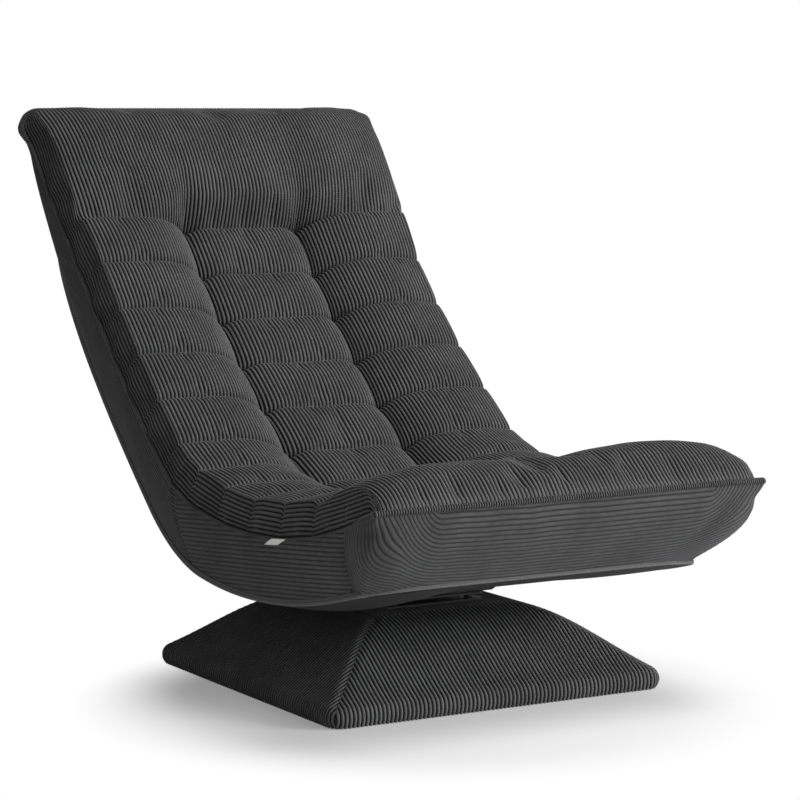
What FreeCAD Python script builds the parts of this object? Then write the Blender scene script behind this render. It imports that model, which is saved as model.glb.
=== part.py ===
import FreeCAD, Part

import math
import os
from typing import NamedTuple

# Swivel floor recliner: a tufted lounge cushion with a ratchet back, on a fabric-covered pyramid base.
# Millimetres and degrees. +Z is up, the chair faces -Y and the sitter's left is +X. The origin is on the
# floor, on the swivel axis. The cushion is laid out along its side seam, a line of three tangent arcs in
# the YZ plane: s is the length along it from the front edge, h the height above it towards the sitter.

Vector = FreeCAD.Vector
ORIGIN = Vector(0, 0, 0)
ACROSS = Vector(1, 0, 0)
UP = Vector(0, 0, 1)

# Side seam
cushion_width = 560.0
seat_radius = 800.0
seat_low_y = -90.0
seat_low_above_base = 116.0
seat_front_y = -403.0
seat_end_angle = 11.5
crease_radius = 230.0
back_start_angle = 39.0
back_radius = 2500.0
back_length = 630.0
back_waist = 10.0

# Padding above the side seam
side_rise = 30.0
side_inset = 27.0
shoulder_roundness = 0.16
band_roundness = 0.10
bolster_crown = 47.0
bolster_inner = 22.0
channel_x = 93.0
channel_run = 25.0
channel_height = 3.0
centre_crown = 17.0
seam_dip_side = 4.0
seam_dip_bolster = 8.0
seam_dip_centre = 9.0
front_rise = 46.0
front_crown = 66.0
head_rise = 45.0
head_crown = 64.0
front_panel_length = 159.0
tuft_pitch = 84.0
tuft_rows = 10
row_flat_start = 0.22
row_flat_end = 0.78

# Shape of a plain panel along its length: share of its length from the outer edge, share of its height
panel_roll = ((0.01, 0.15), (0.05, 0.42), (0.13, 0.68), (0.28, 0.92), (0.55, 1.00), (0.84, 0.86))

# Padding below the side seam
edge_depth = 8.0
front_depth = 74.0
front_face_run = 100.0
front_face_turn = 35.0
front_face_turn_depth = 44.0
crease_depth = 103.0
back_depth = 96.0
head_depth = 66.0
head_taper = 128.0
band_tuck = 20.0
front_tuck = 33.0

# Hollow under the padding, with its covers
side_wall = 40.0
web_drop = 32.0
pocket_front = 115.0
pocket_top_margin = 98.0
pocket_spare = 60.0
cover_sheet = 1.5
cover_recess = 1.0
cover_gap = 0.5
bar_slot_margin = 2.0

# Parting of the cushion at the crease
hinge_drop = 20.0
fold_lean = 28.5
parting_gap = 0.3

# Tube frames and webbing
tube_radius = 11.0
tube_wall = 1.5
frame_drop = 46.0
frame_bend = 60.0
seat_tube_from_front = 135.0
back_rail_start = 35.0
back_tube_from_top = 118.0
weld_sink = 0.5
strap_width = 40.0
strap_thickness = 2.0
strap_fit = 0.05
seat_strap_y = (-190.0, -130.0)
rear_strap_gap = 5.0
back_strap_from_crease = (120.0, 190.0, 330.0, 400.0)
back_bar_from_crease = 260.0
back_bar_radius = 8.0

# Ratchet hinges
arm_plate = 4.0
arm_tip_radius = 14.0
seat_arm_hub = 26.0
back_arm_hub = 31.0
seat_arm_overlap = 66.0
back_arm_overlap = 75.0
hinge_side_gap = 0.3
pin_radius = 6.0
pin_head_radius = 10.0
pin_head = 3.0
pin_wall_gap = 2.0
running_clearance = 0.05
fixed_clearance = 0.02
gear_width = 6.0
gear_tip_radius = 22.0
gear_root_radius = 18.5
gear_teeth = 20
pawl_pivot_radius = 29.0
pawl_pivot_lead = 62.0
pawl_behind_arm = 50.0
pawl_boss_radius = 5.5
pawl_pin_radius = 2.5
pawl_pin_head_radius = 4.5
pawl_pin_head = 1.5
pawl_face_gap = 1.2
pawl_root_gap = 0.4
pawl_tip_gap = 0.7
pawl_lift = 10.0
spring_leaf = 0.8
spring_width = 4.0
spring_eye_radius = 3.0
spring_root_radius = 40.0
spring_root_lead = 70.0
spring_end_radius = 36.0
spring_end_lead = 4.0
hinge_room_margin = 1.0
arm_slot_margin = 4.0

# Base
base_side = 483.0
base_corner = 18.0
lip_height = 20.0
lip_round = 13.0
lip_round_in = 8.0
base_slope_side = 392.0
base_slope_height = 56.0
base_shoulder_side = 304.0
base_shoulder_height = 78.0
base_shoulder_corner = 14.0
base_top_side = 212.0
base_top_corner = 12.0
base_height = 106.0
cover_wall = 5.0
hem_lift = 0.5
mat_thickness = 2.0
board_thickness = 12.0
board_margin = 1.5
mat_margin = 1.0
top_board_side = 200.0
hip_rail_foot = 276.0
hip_rail_head = 105.0
hip_rail_run = 14.0
hip_rail_width = 30.0

# Swivel
plate_side = 150.0
plate_corner = 8.0
plate_thickness = 2.5
plate_gap = 5.5
ball_radius = 3.5
ball_count = 16
ball_circle = 45.0
race_clearance = 0.05
cage_width = 12.0
cage_thickness = 1.6
cage_clearance = 0.1
rivet_radius = 10.0
rivet_bore = 7.0
rivet_flange = 14.0
rivet_flange_thickness = 1.5
rivet_end_play = 0.1
rivet_hole_margin = 2.0
base_bolt_reach = 60.0
seat_bolt_reach = 50.0
bolt_radius = 3.0
bolt_head_radius = 5.5
bolt_head = 2.5
bolt_spare = 3.0
nut_flats = 10.0
nut_height = 5.0
cross_bar_width = 40.0
cross_bar_thickness = 5.0
cross_bar_flat = 180.0


class Arc(NamedTuple):
    """One arc of the side seam in the YZ plane, with the centre on the sitter's side."""

    y: float
    z: float
    radius: float
    start_s: float
    start_angle: float


class Form(NamedTuple):
    """Heights of the cushion's outline across the chair, above the side seam."""

    rise: float
    crest: float
    inner: float
    channel: float
    centre: float


def next_arc(arc, end_angle, radius):
    """Arc of the given radius that carries on from another where its slope is end_angle."""
    turn = math.radians(end_angle)
    shift = arc.radius - radius
    start_s = arc.start_s + arc.radius * (turn - arc.start_angle)
    return Arc(arc.y + shift * math.sin(turn), arc.z - shift * math.cos(turn), radius, start_s, turn)


half_width = cushion_width / 2
front_angle = math.asin((seat_front_y - seat_low_y) / seat_radius)
seat_low_z = base_height + seat_low_above_base
SEAT = Arc(seat_low_y, seat_low_z + seat_radius, seat_radius, 0.0, front_angle)
CREASE = next_arc(SEAT, seat_end_angle, crease_radius)
BACK = next_arc(CREASE, back_start_angle, back_radius)
seam_length = BACK.start_s + back_length
pocket_half = half_width - side_wall


def arc_at(s):
    """Arc of the side seam that holds length s."""
    if s < CREASE.start_s:
        return SEAT
    if s < BACK.start_s:
        return CREASE
    return BACK


def slope_at(s):
    """Slope of the side seam at length s, in radians."""
    arc = arc_at(s)
    return arc.start_angle + (s - arc.start_s) / arc.radius


def on_arc(arc, angle, x, drop=0.0):
    """Point at a slope angle of an arc, set off across the chair and away from the sitter."""
    reach = arc.radius + drop
    return Vector(x, arc.y + reach * math.sin(angle), arc.z - reach * math.cos(angle))


def place(s, x, h):
    """Point at length s along the seam, x across the chair and h above the seam."""
    return on_arc(arc_at(s), slope_at(s), x, -h)


def along(angle):
    """Unit vector along the seam, towards the top of the back, where its slope is angle."""
    return Vector(0, math.cos(angle), math.sin(angle))


hinge = place((CREASE.start_s + BACK.start_s) / 2, 0, -hinge_drop)


def interpolate(s, knots):
    """Value at s on straight lines between (s, value) knots."""
    for (s0, value0), (s1, value1) in zip(knots, knots[1:]):
        if s <= s1:
            return value0 + (value1 - value0) * (s - s0) / (s1 - s0)
    return knots[-1][1]


def depth_at(s):
    """Depth of the padding below the seam at length s."""
    return interpolate(
        s,
        (
            (0.0, edge_depth),
            (front_face_turn, front_face_turn_depth),
            (front_face_run, front_depth),
            (CREASE.start_s, crease_depth),
            (BACK.start_s + back_length / 2, back_depth),
            (seam_length - head_taper, head_depth),
            (seam_length, edge_depth),
        ),
    )


def tuck_at(s):
    """How far each side of the bottom is drawn in under the seam at length s."""
    return interpolate(s, ((0.0, front_tuck), (front_face_run, front_tuck), (CREASE.start_s, band_tuck)))


def half_at(s):
    """Half width of the cushion at length s: the back is drawn in between the crease and its top."""
    if s < CREASE.start_s:
        return half_width
    share = (s - CREASE.start_s) / (seam_length - CREASE.start_s)
    return half_width - back_waist * math.sin(math.pi * share)


def plain_form(full_rise, crown, share):
    """Outline of a plain panel that crowns over the whole width."""
    shoulder = half_width - side_inset
    rise = full_rise * share

    def height(x):
        return rise + (crown * share - rise) * (1 - (x / shoulder) ** 2)

    wall_top = channel_x + channel_run
    return Form(rise, height((shoulder + wall_top) / 2), height(wall_top), height(channel_x), height(0))


def tufted_form(sewn):
    """Outline across the three columns, at a sewn seam or between two of them."""
    dip = 1.0 if sewn else 0.0
    return Form(
        side_rise - dip * seam_dip_side,
        bolster_crown - dip * seam_dip_bolster,
        bolster_inner - dip * seam_dip_bolster,
        channel_height,
        centre_crown - dip * seam_dip_centre,
    )


def cushion_stations():
    """Seam lengths and outlines of the cushion, from the front edge to the top of the back."""
    last_seam = front_panel_length + tuft_rows * tuft_pitch
    head_length = seam_length - last_seam
    stations = [
        (share * front_panel_length, plain_form(front_rise, front_crown, level))
        for share, level in panel_roll
    ]
    for row in range(tuft_rows):
        seam = front_panel_length + row * tuft_pitch
        stations.append((seam, tufted_form(True)))
        stations.append((seam + row_flat_start * tuft_pitch, tufted_form(False)))
        stations.append((seam + row_flat_end * tuft_pitch, tufted_form(False)))
    stations.append((last_seam, tufted_form(True)))
    for share, level in reversed(panel_roll):
        stations.append((seam_length - share * head_length, plain_form(head_rise, head_crown, level)))
    return stations


def arc_edge(start, middle, end):
    """Circular edge through three points."""
    return Part.Arc(start, middle, end).toShape()


def line_edge(start, end):
    """Straight edge between two points."""
    return Part.LineSegment(start, end).toShape()


def side_edge(s, x0, h0, x1, h1):
    """Outward-bulging arc in a section from (x0, h0) to (x1, h1), on the side that x0 is on."""
    roundness = shoulder_roundness if h0 + h1 > 0 else band_roundness
    bulge = math.copysign(roundness, x0) * abs(h1 - h0)
    middle = place(s, (x0 + x1) / 2 + bulge, (h0 + h1) / 2)
    return arc_edge(place(s, x0, h0), middle, place(s, x1, h1))


def cushion_outline(s, form):
    """Closed outline of the cushion across the chair at length s, all arcs and lines."""
    depth = depth_at(s)
    half = half_at(s)
    shoulder = half - side_inset
    wall_top = channel_x + channel_run
    crest_x = (shoulder + wall_top) / 2
    bottom_half = half - tuck_at(s) * min(1.0, depth / front_depth)

    def bolster(start, end):
        first, last = (form.rise, form.inner) if abs(start) > abs(end) else (form.inner, form.rise)
        crest = place(s, math.copysign(crest_x, start), form.crest)
        return arc_edge(place(s, start, first), crest, place(s, end, last))

    edges = [
        side_edge(s, -half, 0, -shoulder, form.rise),
        bolster(-shoulder, -wall_top),
        line_edge(place(s, -wall_top, form.inner), place(s, -channel_x, form.channel)),
        arc_edge(
            place(s, -channel_x, form.channel), place(s, 0, form.centre), place(s, channel_x, form.channel)
        ),
        line_edge(place(s, channel_x, form.channel), place(s, wall_top, form.inner)),
        bolster(wall_top, shoulder),
        side_edge(s, shoulder, form.rise, half, 0),
        side_edge(s, half, 0, bottom_half, -depth),
        line_edge(place(s, bottom_half, -depth), place(s, -bottom_half, -depth)),
        side_edge(s, -bottom_half, -depth, -half, 0),
    ]
    return Part.Wire(edges)


def whole_cushion():
    """The padded cushion in one piece, before it is parted at the crease and hollowed."""
    return Part.makeLoft([cushion_outline(s, form) for s, form in cushion_stations()], True, True)


def stations_between(start, end):
    """Seam lengths from start to end, by way of the cushion's own stations."""
    inner = [s for s, form in cushion_stations() if start < s < end]
    return [start] + inner + [end]


def rectangle_outline(s, half, top, bottom):
    """Closed rectangle across the chair at length s, between two heights."""
    corners = [place(s, -half, top), place(s, half, top), place(s, half, bottom), place(s, -half, bottom)]
    return Part.makePolygon(corners + corners[:1])


def frame_pocket():
    """Hollow under the padding, open to the bottom and the rear."""
    lowest = -max(front_depth, crease_depth, head_depth) - pocket_spare
    outlines = [
        rectangle_outline(s, pocket_half, -web_drop, lowest)
        for s in stations_between(pocket_front, seam_length - pocket_top_margin)
    ]
    return Part.makeLoft(outlines, True, True)


def cover_panel():
    """Thin fabric panel in the mouth of the pocket, under the seat and behind the back."""
    start = pocket_front + cover_gap
    end = seam_length - pocket_top_margin - cover_gap
    outlines = []
    for s in stations_between(start, end):
        outer = depth_at(s) - cover_recess
        outlines.append(rectangle_outline(s, pocket_half - cover_gap, cover_sheet - outer, -outer))
    return Part.makeLoft(outlines, True, True)


def ray(angle):
    """Unit vector in the YZ plane at an angle from +Y, in degrees."""
    return Vector(0, math.cos(math.radians(angle)), math.sin(math.radians(angle)))


seat_parting = 180 + seat_end_angle - fold_lean
back_parting = back_start_angle + fold_lean
lower_parting = (180 + seat_end_angle + 360 + back_start_angle) / 2


def sector(start, end):
    """Prism across the chair between two rays from the hinge, drawn in by the parting gap."""
    middle = (start + end) / 2
    apex = hinge + ray(middle) * (parting_gap / math.sin(math.radians(end - start) / 2))
    reach = 2 * seam_length
    corners = [apex] + [apex + ray(start + (end - start) * part / 3) * reach for part in range(4)]
    shift = ACROSS * -cushion_width
    face = Part.Face(Part.makePolygon([corner + shift for corner in corners + corners[:1]]))
    return face.extrude(ACROSS * (2 * cushion_width))


def seat_sector():
    """Space of the seat's soft parts."""
    return sector(seat_parting, lower_parting)


def back_sector():
    """Space of the back's soft parts."""
    return sector(lower_parting, 360 + back_parting)


def cylinder_across(radius, centre, x0, x1):
    """Cylinder along X from x0 to x1 round a point of the YZ plane."""
    return Part.makeCylinder(radius, x1 - x0, Vector(x0, centre.y, centre.z), ACROSS)


def link_plate(centre0, radius0, centre1, radius1, x0, x1):
    """Flat link with two round ends and tangent sides, from x0 to x1."""
    span = centre1 - centre0
    heading = math.degrees(math.atan2(span.z, span.y))
    spread = math.degrees(math.acos((radius0 - radius1) / math.hypot(span.y, span.z)))

    def rim(centre, radius, angle):
        point = centre + ray(angle) * radius
        return Vector(x0, point.y, point.z)

    left0 = rim(centre0, radius0, heading + spread)
    left1 = rim(centre1, radius1, heading + spread)
    right0 = rim(centre0, radius0, heading - spread)
    right1 = rim(centre1, radius1, heading - spread)
    edges = [
        line_edge(left0, left1),
        arc_edge(left1, rim(centre1, radius1, heading), right1),
        line_edge(right1, right0),
        arc_edge(right0, rim(centre0, radius0, heading + 180), left0),
    ]
    return Part.Face(Part.Wire(edges)).extrude(ACROSS * (x1 - x0))


# Layers of the left hinge, from the side wall inwards
pin_outer_x = pocket_half - pin_wall_gap
back_arm_x1 = pin_outer_x - pin_head - hinge_side_gap
back_arm_x0 = back_arm_x1 - arm_plate
gear_x1 = back_arm_x0 - hinge_side_gap
gear_x0 = gear_x1 - gear_width
seat_arm_x0 = gear_x0 - arm_plate
seat_rail_x = seat_arm_x0 - tube_radius + weld_sink
back_rail_x = back_arm_x0 - tube_radius + weld_sink
pin_inner_x = seat_arm_x0 - pin_head

seat_tip_angle = math.radians(seat_end_angle) - seat_arm_overlap / (seat_radius + frame_drop)
back_tip_angle = BACK.start_angle + back_arm_overlap / (back_radius + frame_drop)
seat_arm_tip = on_arc(SEAT, seat_tip_angle, 0, frame_drop)
back_arm_tip = on_arc(BACK, back_tip_angle, 0, frame_drop)
back_arm_heading = math.degrees(math.atan2(back_arm_tip.z - hinge.z, back_arm_tip.y - hinge.y))
ratchet_phase = back_arm_heading - pawl_behind_arm
tooth_step = 360.0 / gear_teeth


def about_hinge(radius, lead):
    """Point of the YZ plane at a radius from the hinge and an angle from the first tooth's face."""
    return hinge + ray(ratchet_phase + lead) * radius


pawl_pivot = about_hinge(pawl_pivot_radius, pawl_pivot_lead)


def hinge_clearance():
    """Room in the padding round both hinges and along their arms."""
    inner_x = pin_inner_x - hinge_side_gap
    reach = max(spring_root_radius + spring_eye_radius, back_arm_hub, seat_arm_hub)
    rooms = [cylinder_across(reach + hinge_room_margin, hinge, inner_x, pocket_half)]
    tip_radius = arm_tip_radius + arm_slot_margin
    for hub, tip in ((seat_arm_hub, seat_arm_tip), (back_arm_hub, back_arm_tip)):
        rooms.append(link_plate(hinge, hub + arm_slot_margin, tip, tip_radius, inner_x, pocket_half))
    left = rooms[0].fuse(rooms[1:])
    return left.fuse(mirrored(left))


def mirrored(shape):
    """Copy of a shape on the other side of the chair."""
    return shape.mirror(ORIGIN, ACROSS)


def pipe(path, radius):
    """Round bar along a path."""
    first = path.Edges[0]
    start = first.valueAt(first.FirstParameter)
    ring = Part.Wire([Part.makeCircle(radius, start, first.tangentAt(first.FirstParameter))])
    return path.makePipeShell([ring], True, False)


def bent_path(arc, rail_x, open_angle, closed_angle):
    """U-shaped line: a rail along an arc, a bend, a straight run across, a bend and the other rail."""
    heading = along(closed_angle) * math.copysign(1.0, closed_angle - open_angle)
    middle_angle = (open_angle + closed_angle) / 2
    inner_x = rail_x - frame_bend
    diagonal = math.sqrt(0.5) * frame_bend

    def rail(x, angle):
        return on_arc(arc, angle, x, frame_drop)

    def corner(side):
        return rail(side * inner_x, closed_angle) + ACROSS * (side * diagonal) + heading * diagonal

    run = [rail(side * inner_x, closed_angle) + heading * frame_bend for side in (1, -1)]
    edges = [
        arc_edge(rail(rail_x, open_angle), rail(rail_x, middle_angle), rail(rail_x, closed_angle)),
        arc_edge(rail(rail_x, closed_angle), corner(1), run[0]),
        line_edge(run[0], run[1]),
        arc_edge(run[1], corner(-1), rail(-rail_x, closed_angle)),
        arc_edge(rail(-rail_x, closed_angle), rail(-rail_x, middle_angle), rail(-rail_x, open_angle)),
    ]
    return Part.Wire(edges)


def seat_path():
    """Line of the seat's tube frame, open towards the crease."""
    bend_angle = frame_bend / (seat_radius + frame_drop)
    return bent_path(SEAT, seat_rail_x, CREASE.start_angle, slope_at(seat_tube_from_front) + bend_angle)


def back_path():
    """Line of the back's tube frame, open towards the crease."""
    bend_angle = frame_bend / (back_radius + frame_drop)
    closed_angle = slope_at(seam_length - back_tube_from_top) - bend_angle
    return bent_path(BACK, back_rail_x, BACK.start_angle + back_rail_start / back_radius, closed_angle)


def tube(path):
    """Hollow steel tube along a path."""
    return pipe(path, tube_radius).cut(pipe(path, tube_radius - tube_wall))


def webbing_strap(arc, rail_x, angle):
    """Strap across the frame that wraps the outer half of both rails."""
    inner = tube_radius + strap_fit
    outer = inner + strap_thickness
    start = angle - strap_width / (2 * arc.radius)

    def at(x, rise):
        return on_arc(arc, start, x, frame_drop - rise)

    edges = [
        line_edge(at(-rail_x, outer), at(rail_x, outer)),
        arc_edge(at(rail_x, outer), at(rail_x + outer, 0), at(rail_x, -outer)),
        line_edge(at(rail_x, -outer), at(rail_x, -inner)),
        arc_edge(at(rail_x, -inner), at(rail_x + inner, 0), at(rail_x, inner)),
        line_edge(at(rail_x, inner), at(-rail_x, inner)),
        arc_edge(at(-rail_x, inner), at(-rail_x - inner, 0), at(-rail_x, -inner)),
        line_edge(at(-rail_x, -inner), at(-rail_x, -outer)),
        arc_edge(at(-rail_x, -outer), at(-rail_x - outer, 0), at(-rail_x, outer)),
    ]
    face = Part.Face(Part.Wire(edges))
    return face.revolve(Vector(0, arc.y, arc.z), ACROSS, math.degrees(strap_width / arc.radius))


def seat_webbing():
    """Straps under the seat padding."""
    rail_radius = SEAT.radius + frame_drop
    angles = [math.asin((y - SEAT.y) / rail_radius) for y in seat_strap_y]
    clear_of_arm = arm_tip_radius + rear_strap_gap + strap_width / 2
    angles.append(seat_tip_angle - clear_of_arm / rail_radius)
    return Part.Compound([webbing_strap(SEAT, seat_rail_x, angle) for angle in angles])


def back_webbing():
    """Straps behind the back padding."""
    angles = [slope_at(BACK.start_s + reach) for reach in back_strap_from_crease]
    return Part.Compound([webbing_strap(BACK, back_rail_x, angle) for angle in angles])


def back_cross_bar():
    """Tube between the back's rails, coped to them."""
    centre = place(BACK.start_s + back_bar_from_crease, 0, -frame_drop)
    bar = cylinder_across(back_bar_radius, centre, -back_rail_x, back_rail_x)
    bore = cylinder_across(back_bar_radius - tube_wall, centre, -back_rail_x, back_rail_x)
    return bar.cut(bore).cut(pipe(back_path(), tube_radius))


def soft_parts():
    """Seat, crease and back cushions with the seat's bottom cover and the back's rear cover."""
    cushion = whole_cushion()
    pocket = frame_pocket()
    rooms = hinge_clearance()
    cover = cover_panel()
    return {
        "seat_cushion": cushion.common(seat_sector()).cut(pocket).cut(rooms),
        "fold_cushion": cushion.common(sector(back_parting, seat_parting)).cut(rooms),
        "back_cushion": cushion.common(back_sector()).cut(pocket).cut(rooms),
        "seat_dust_cover": cover.common(seat_sector()).cut(cross_bar_rooms()),
        "back_rear_cover": cover.common(back_sector()),
    }


def seat_hinge_arm():
    """Left plate from the hinge to the seat's rail, coped to the tube."""
    plate = link_plate(hinge, seat_arm_hub, seat_arm_tip, arm_tip_radius, seat_arm_x0, gear_x0)
    bore = cylinder_across(pin_radius + fixed_clearance, hinge, seat_arm_x0, gear_x0)
    return plate.cut(bore).cut(pipe(seat_path(), tube_radius))


def back_hinge_arm():
    """Left plate from the hinge to the back's rail, coped to the tube."""
    plate = link_plate(hinge, back_arm_hub, back_arm_tip, arm_tip_radius, back_arm_x0, back_arm_x1)
    bore = cylinder_across(pin_radius + running_clearance, hinge, back_arm_x0, back_arm_x1)
    pawl_bore = cylinder_across(pawl_pin_radius + fixed_clearance, pawl_pivot, back_arm_x0, back_arm_x1)
    return plate.cut(bore).cut(pawl_bore).cut(pipe(back_path(), tube_radius))


def prism_across(points, x0, x1):
    """Prism along X from a closed outline in the YZ plane."""
    corners = [Vector(x0, point.y, point.z) for point in points]
    return Part.Face(Part.makePolygon(corners + corners[:1])).extrude(ACROSS * (x1 - x0))


def ratchet_gear():
    """Left ratchet wheel with saw teeth whose steep faces stop the back from falling."""
    outline = []
    for tooth in range(gear_teeth):
        outline.append(about_hinge(gear_root_radius, tooth * tooth_step))
        outline.append(about_hinge(gear_tip_radius, (tooth + 1) * tooth_step))
    wheel = prism_across(outline, gear_x0, gear_x1)
    return wheel.cut(cylinder_across(pin_radius + fixed_clearance, hinge, gear_x0, gear_x1))


def pivot_pin():
    """Left hinge pin with a head at each end."""
    shank = cylinder_across(pin_radius, hinge, pin_inner_x, pin_outer_x)
    inner_head = cylinder_across(pin_head_radius, hinge, pin_inner_x, seat_arm_x0)
    outer_head = cylinder_across(pin_head_radius, hinge, pin_outer_x - pin_head, pin_outer_x)
    return shank.fuse([inner_head, outer_head])


def pawl():
    """Left pawl, lifted clear of the teeth round its pin."""
    x0 = gear_x0 + hinge_side_gap
    clear = gear_tip_radius + pawl_tip_gap
    outline = [
        about_hinge(gear_root_radius + pawl_root_gap, pawl_face_gap),
        about_hinge(clear, tooth_step - pawl_face_gap),
        about_hinge(clear, (tooth_step + pawl_pivot_lead) / 2),
        pawl_pivot,
        about_hinge(pawl_pivot_radius + pawl_boss_radius / 2, pawl_pivot_lead),
        about_hinge(pawl_pivot_radius, (tooth_step + pawl_pivot_lead) / 2),
        about_hinge(pawl_pivot_radius, pawl_face_gap),
    ]
    boss = cylinder_across(pawl_boss_radius, pawl_pivot, x0, gear_x1)
    lever = prism_across(outline, x0, gear_x1).fuse(boss)
    lever = lever.cut(cylinder_across(pawl_pin_radius + running_clearance, pawl_pivot, x0, gear_x1))
    lever.rotate(pawl_pivot, ACROSS, pawl_lift)
    return lever.removeSplitter()


def pawl_pin():
    """Left pawl's pin, riveted into the back arm."""
    shank = cylinder_across(pawl_pin_radius, pawl_pivot, gear_x0 + hinge_side_gap, back_arm_x1)
    head_end = back_arm_x1 + pawl_pin_head
    return shank.fuse(cylinder_across(pawl_pin_head_radius, pawl_pivot, back_arm_x1, head_end))


def pawl_spring():
    """Left leaf spring with its eye on the back arm, which presses the pawl into the teeth."""
    root = about_hinge(spring_root_radius, spring_root_lead)
    end = about_hinge(spring_end_radius, spring_end_lead)
    run = end - root
    run.normalize()
    side = ACROSS.cross(run) * (spring_leaf / 2)
    x0 = gear_x1 - spring_width
    leaf = prism_across([root + side, end + side, end - side, root - side], x0, gear_x1)
    return leaf.fuse(cylinder_across(spring_eye_radius, root, x0, back_arm_x0))


def rounded_square(side, corner, z):
    """Closed square outline with rounded corners at a height."""
    half = side / 2
    edges = []
    turns = ((1, 1), (-1, 1), (-1, -1), (1, -1))
    for index, (sx, sy) in enumerate(turns):
        centre = Vector(sx * (half - corner), sy * (half - corner), z)
        start_angle = 90 * index
        points = [
            centre + Vector(math.cos(math.radians(a)), math.sin(math.radians(a)), 0) * corner
            for a in (start_angle, start_angle + 45, start_angle + 90)
        ]
        if edges:
            edges.append(line_edge(last_point, points[0]))
        else:
            first_point = points[0]
        edges.append(arc_edge(*points))
        last_point = points[2]
    edges.append(line_edge(last_point, first_point))
    return Part.Wire(edges)


def slab(side, corner, z0, z1):
    """Square plate with rounded corners."""
    return Part.Face(rounded_square(side, corner, z0)).extrude(UP * (z1 - z0))


def upright(radius, z0, z1, x=0.0, y=0.0):
    """Upright cylinder."""
    return Part.makeCylinder(radius, z1 - z0, Vector(x, y, z0))


def four_corners(reach):
    """The four places of a square bolt pattern."""
    return [(sx * reach, sy * reach) for sx in (-1, 1) for sy in (-1, 1)]


def drilled(shape, reach, z0, z1):
    """Shape with four clearance holes for bolts."""
    holes = [upright(bolt_radius + running_clearance, z0, z1, x, y) for x, y in four_corners(reach)]
    return shape.cut(holes)


# Heights of the base and the swivel
board_z0 = mat_thickness
board_z1 = board_z0 + board_thickness
top_board_z1 = base_height - cover_wall
top_board_z0 = top_board_z1 - board_thickness
lower_plate_z1 = base_height + plate_thickness
upper_plate_z0 = lower_plate_z1 + plate_gap
upper_plate_z1 = upper_plate_z0 + plate_thickness
bar_z1 = upper_plate_z1 + cross_bar_thickness
ball_z = lower_plate_z1 + plate_gap / 2
rivet_room = rivet_flange + rivet_hole_margin
inner_side = base_side - 2 * cover_wall
base_bolt_end = top_board_z0 - nut_height - bolt_spare
seat_bolt_end = bar_z1 + nut_height + bolt_spare


def base_levels():
    """Sides, corner radii and heights of the covered pyramid, from the hem up."""
    mid_turn = math.pi / 4
    mid_side = base_side - 2 * lip_round_in * (1 - math.cos(mid_turn))
    return (
        (base_side, base_corner, hem_lift),
        (base_side, base_corner, lip_height),
        (mid_side, base_corner, lip_height + lip_round * math.sin(mid_turn)),
        (base_side - 2 * lip_round_in, base_corner, lip_height + lip_round),
        (base_slope_side, base_corner, base_slope_height),
        (base_shoulder_side, base_shoulder_corner, base_shoulder_height),
        (base_top_side, base_top_corner, base_height),
    )


def base_cover():
    """Padded corduroy cover, a shell that is open below and drilled on top."""
    outer = Part.makeLoft([rounded_square(*level) for level in base_levels()], True, True)
    inner_levels = [
        (side - 2 * cover_wall, corner - cover_wall, z - cover_wall) for side, corner, z in base_levels()
    ]
    inner = Part.makeLoft([rounded_square(*level) for level in inner_levels], True, True)
    shell = outer.cut(inner).cut(upright(rivet_room, top_board_z0, base_height))
    return drilled(shell, base_bolt_reach, top_board_z0, base_height)


def base_top_board():
    """Board under the swivel plate."""
    board = slab(top_board_side, base_top_corner, top_board_z0, top_board_z1)
    board = board.cut(upright(rivet_room, top_board_z0, top_board_z1))
    return drilled(board, base_bolt_reach, top_board_z0, top_board_z1)


def base_hip_rails():
    """Four slanted rails under the hips, from the floor board to the top board."""
    side_shift = Vector(0, -hip_rail_width / 2, 0)
    corners = [
        Vector(hip_rail_foot, 0, board_z1) + side_shift,
        Vector(hip_rail_foot + hip_rail_run, 0, board_z1) + side_shift,
        Vector(hip_rail_head + hip_rail_run, 0, top_board_z0) + side_shift,
        Vector(hip_rail_head, 0, top_board_z0) + side_shift,
    ]
    rail = Part.Face(Part.makePolygon(corners + corners[:1])).extrude(Vector(0, hip_rail_width, 0))
    rails = []
    for turn in (45, 135, 225, 315):
        copy = rail.copy()
        copy.rotate(ORIGIN, UP, turn)
        rails.append(copy)
    return Part.Compound(rails)


def race():
    """Ring-shaped groove that the balls run in."""
    return Part.makeTorus(ball_circle, ball_radius + race_clearance, Vector(0, 0, ball_z))


def lower_swivel_plate():
    """Swivel plate on the base, with its half of the ball race."""
    plate = slab(plate_side, plate_corner, base_height, lower_plate_z1).cut(race())
    plate = plate.cut(upright(rivet_radius + fixed_clearance, base_height, lower_plate_z1))
    return drilled(plate, base_bolt_reach, base_height, lower_plate_z1)


def upper_swivel_plate():
    """Swivel plate under the seat, with its half of the ball race."""
    plate = slab(plate_side, plate_corner, upper_plate_z0, upper_plate_z1).cut(race())
    plate = plate.cut(upright(rivet_radius + running_clearance, upper_plate_z0, upper_plate_z1))
    return drilled(plate, seat_bolt_reach, upper_plate_z0, upper_plate_z1)


def swivel_rivet():
    """Hollow rivet that holds the two swivel plates together."""
    low = base_height - rivet_flange_thickness
    neck = upper_plate_z1 + rivet_end_play
    high = neck + rivet_flange_thickness
    body = upright(rivet_radius, low, high)
    body = body.fuse([upright(rivet_flange, low, base_height), upright(rivet_flange, neck, high)])
    return body.cut(upright(rivet_bore, low, high))


def ball_places():
    """Centres of the balls on their circle."""
    turns = [2 * math.pi * index / ball_count for index in range(ball_count)]
    return [Vector(ball_circle * math.cos(turn), ball_circle * math.sin(turn), ball_z) for turn in turns]


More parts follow.
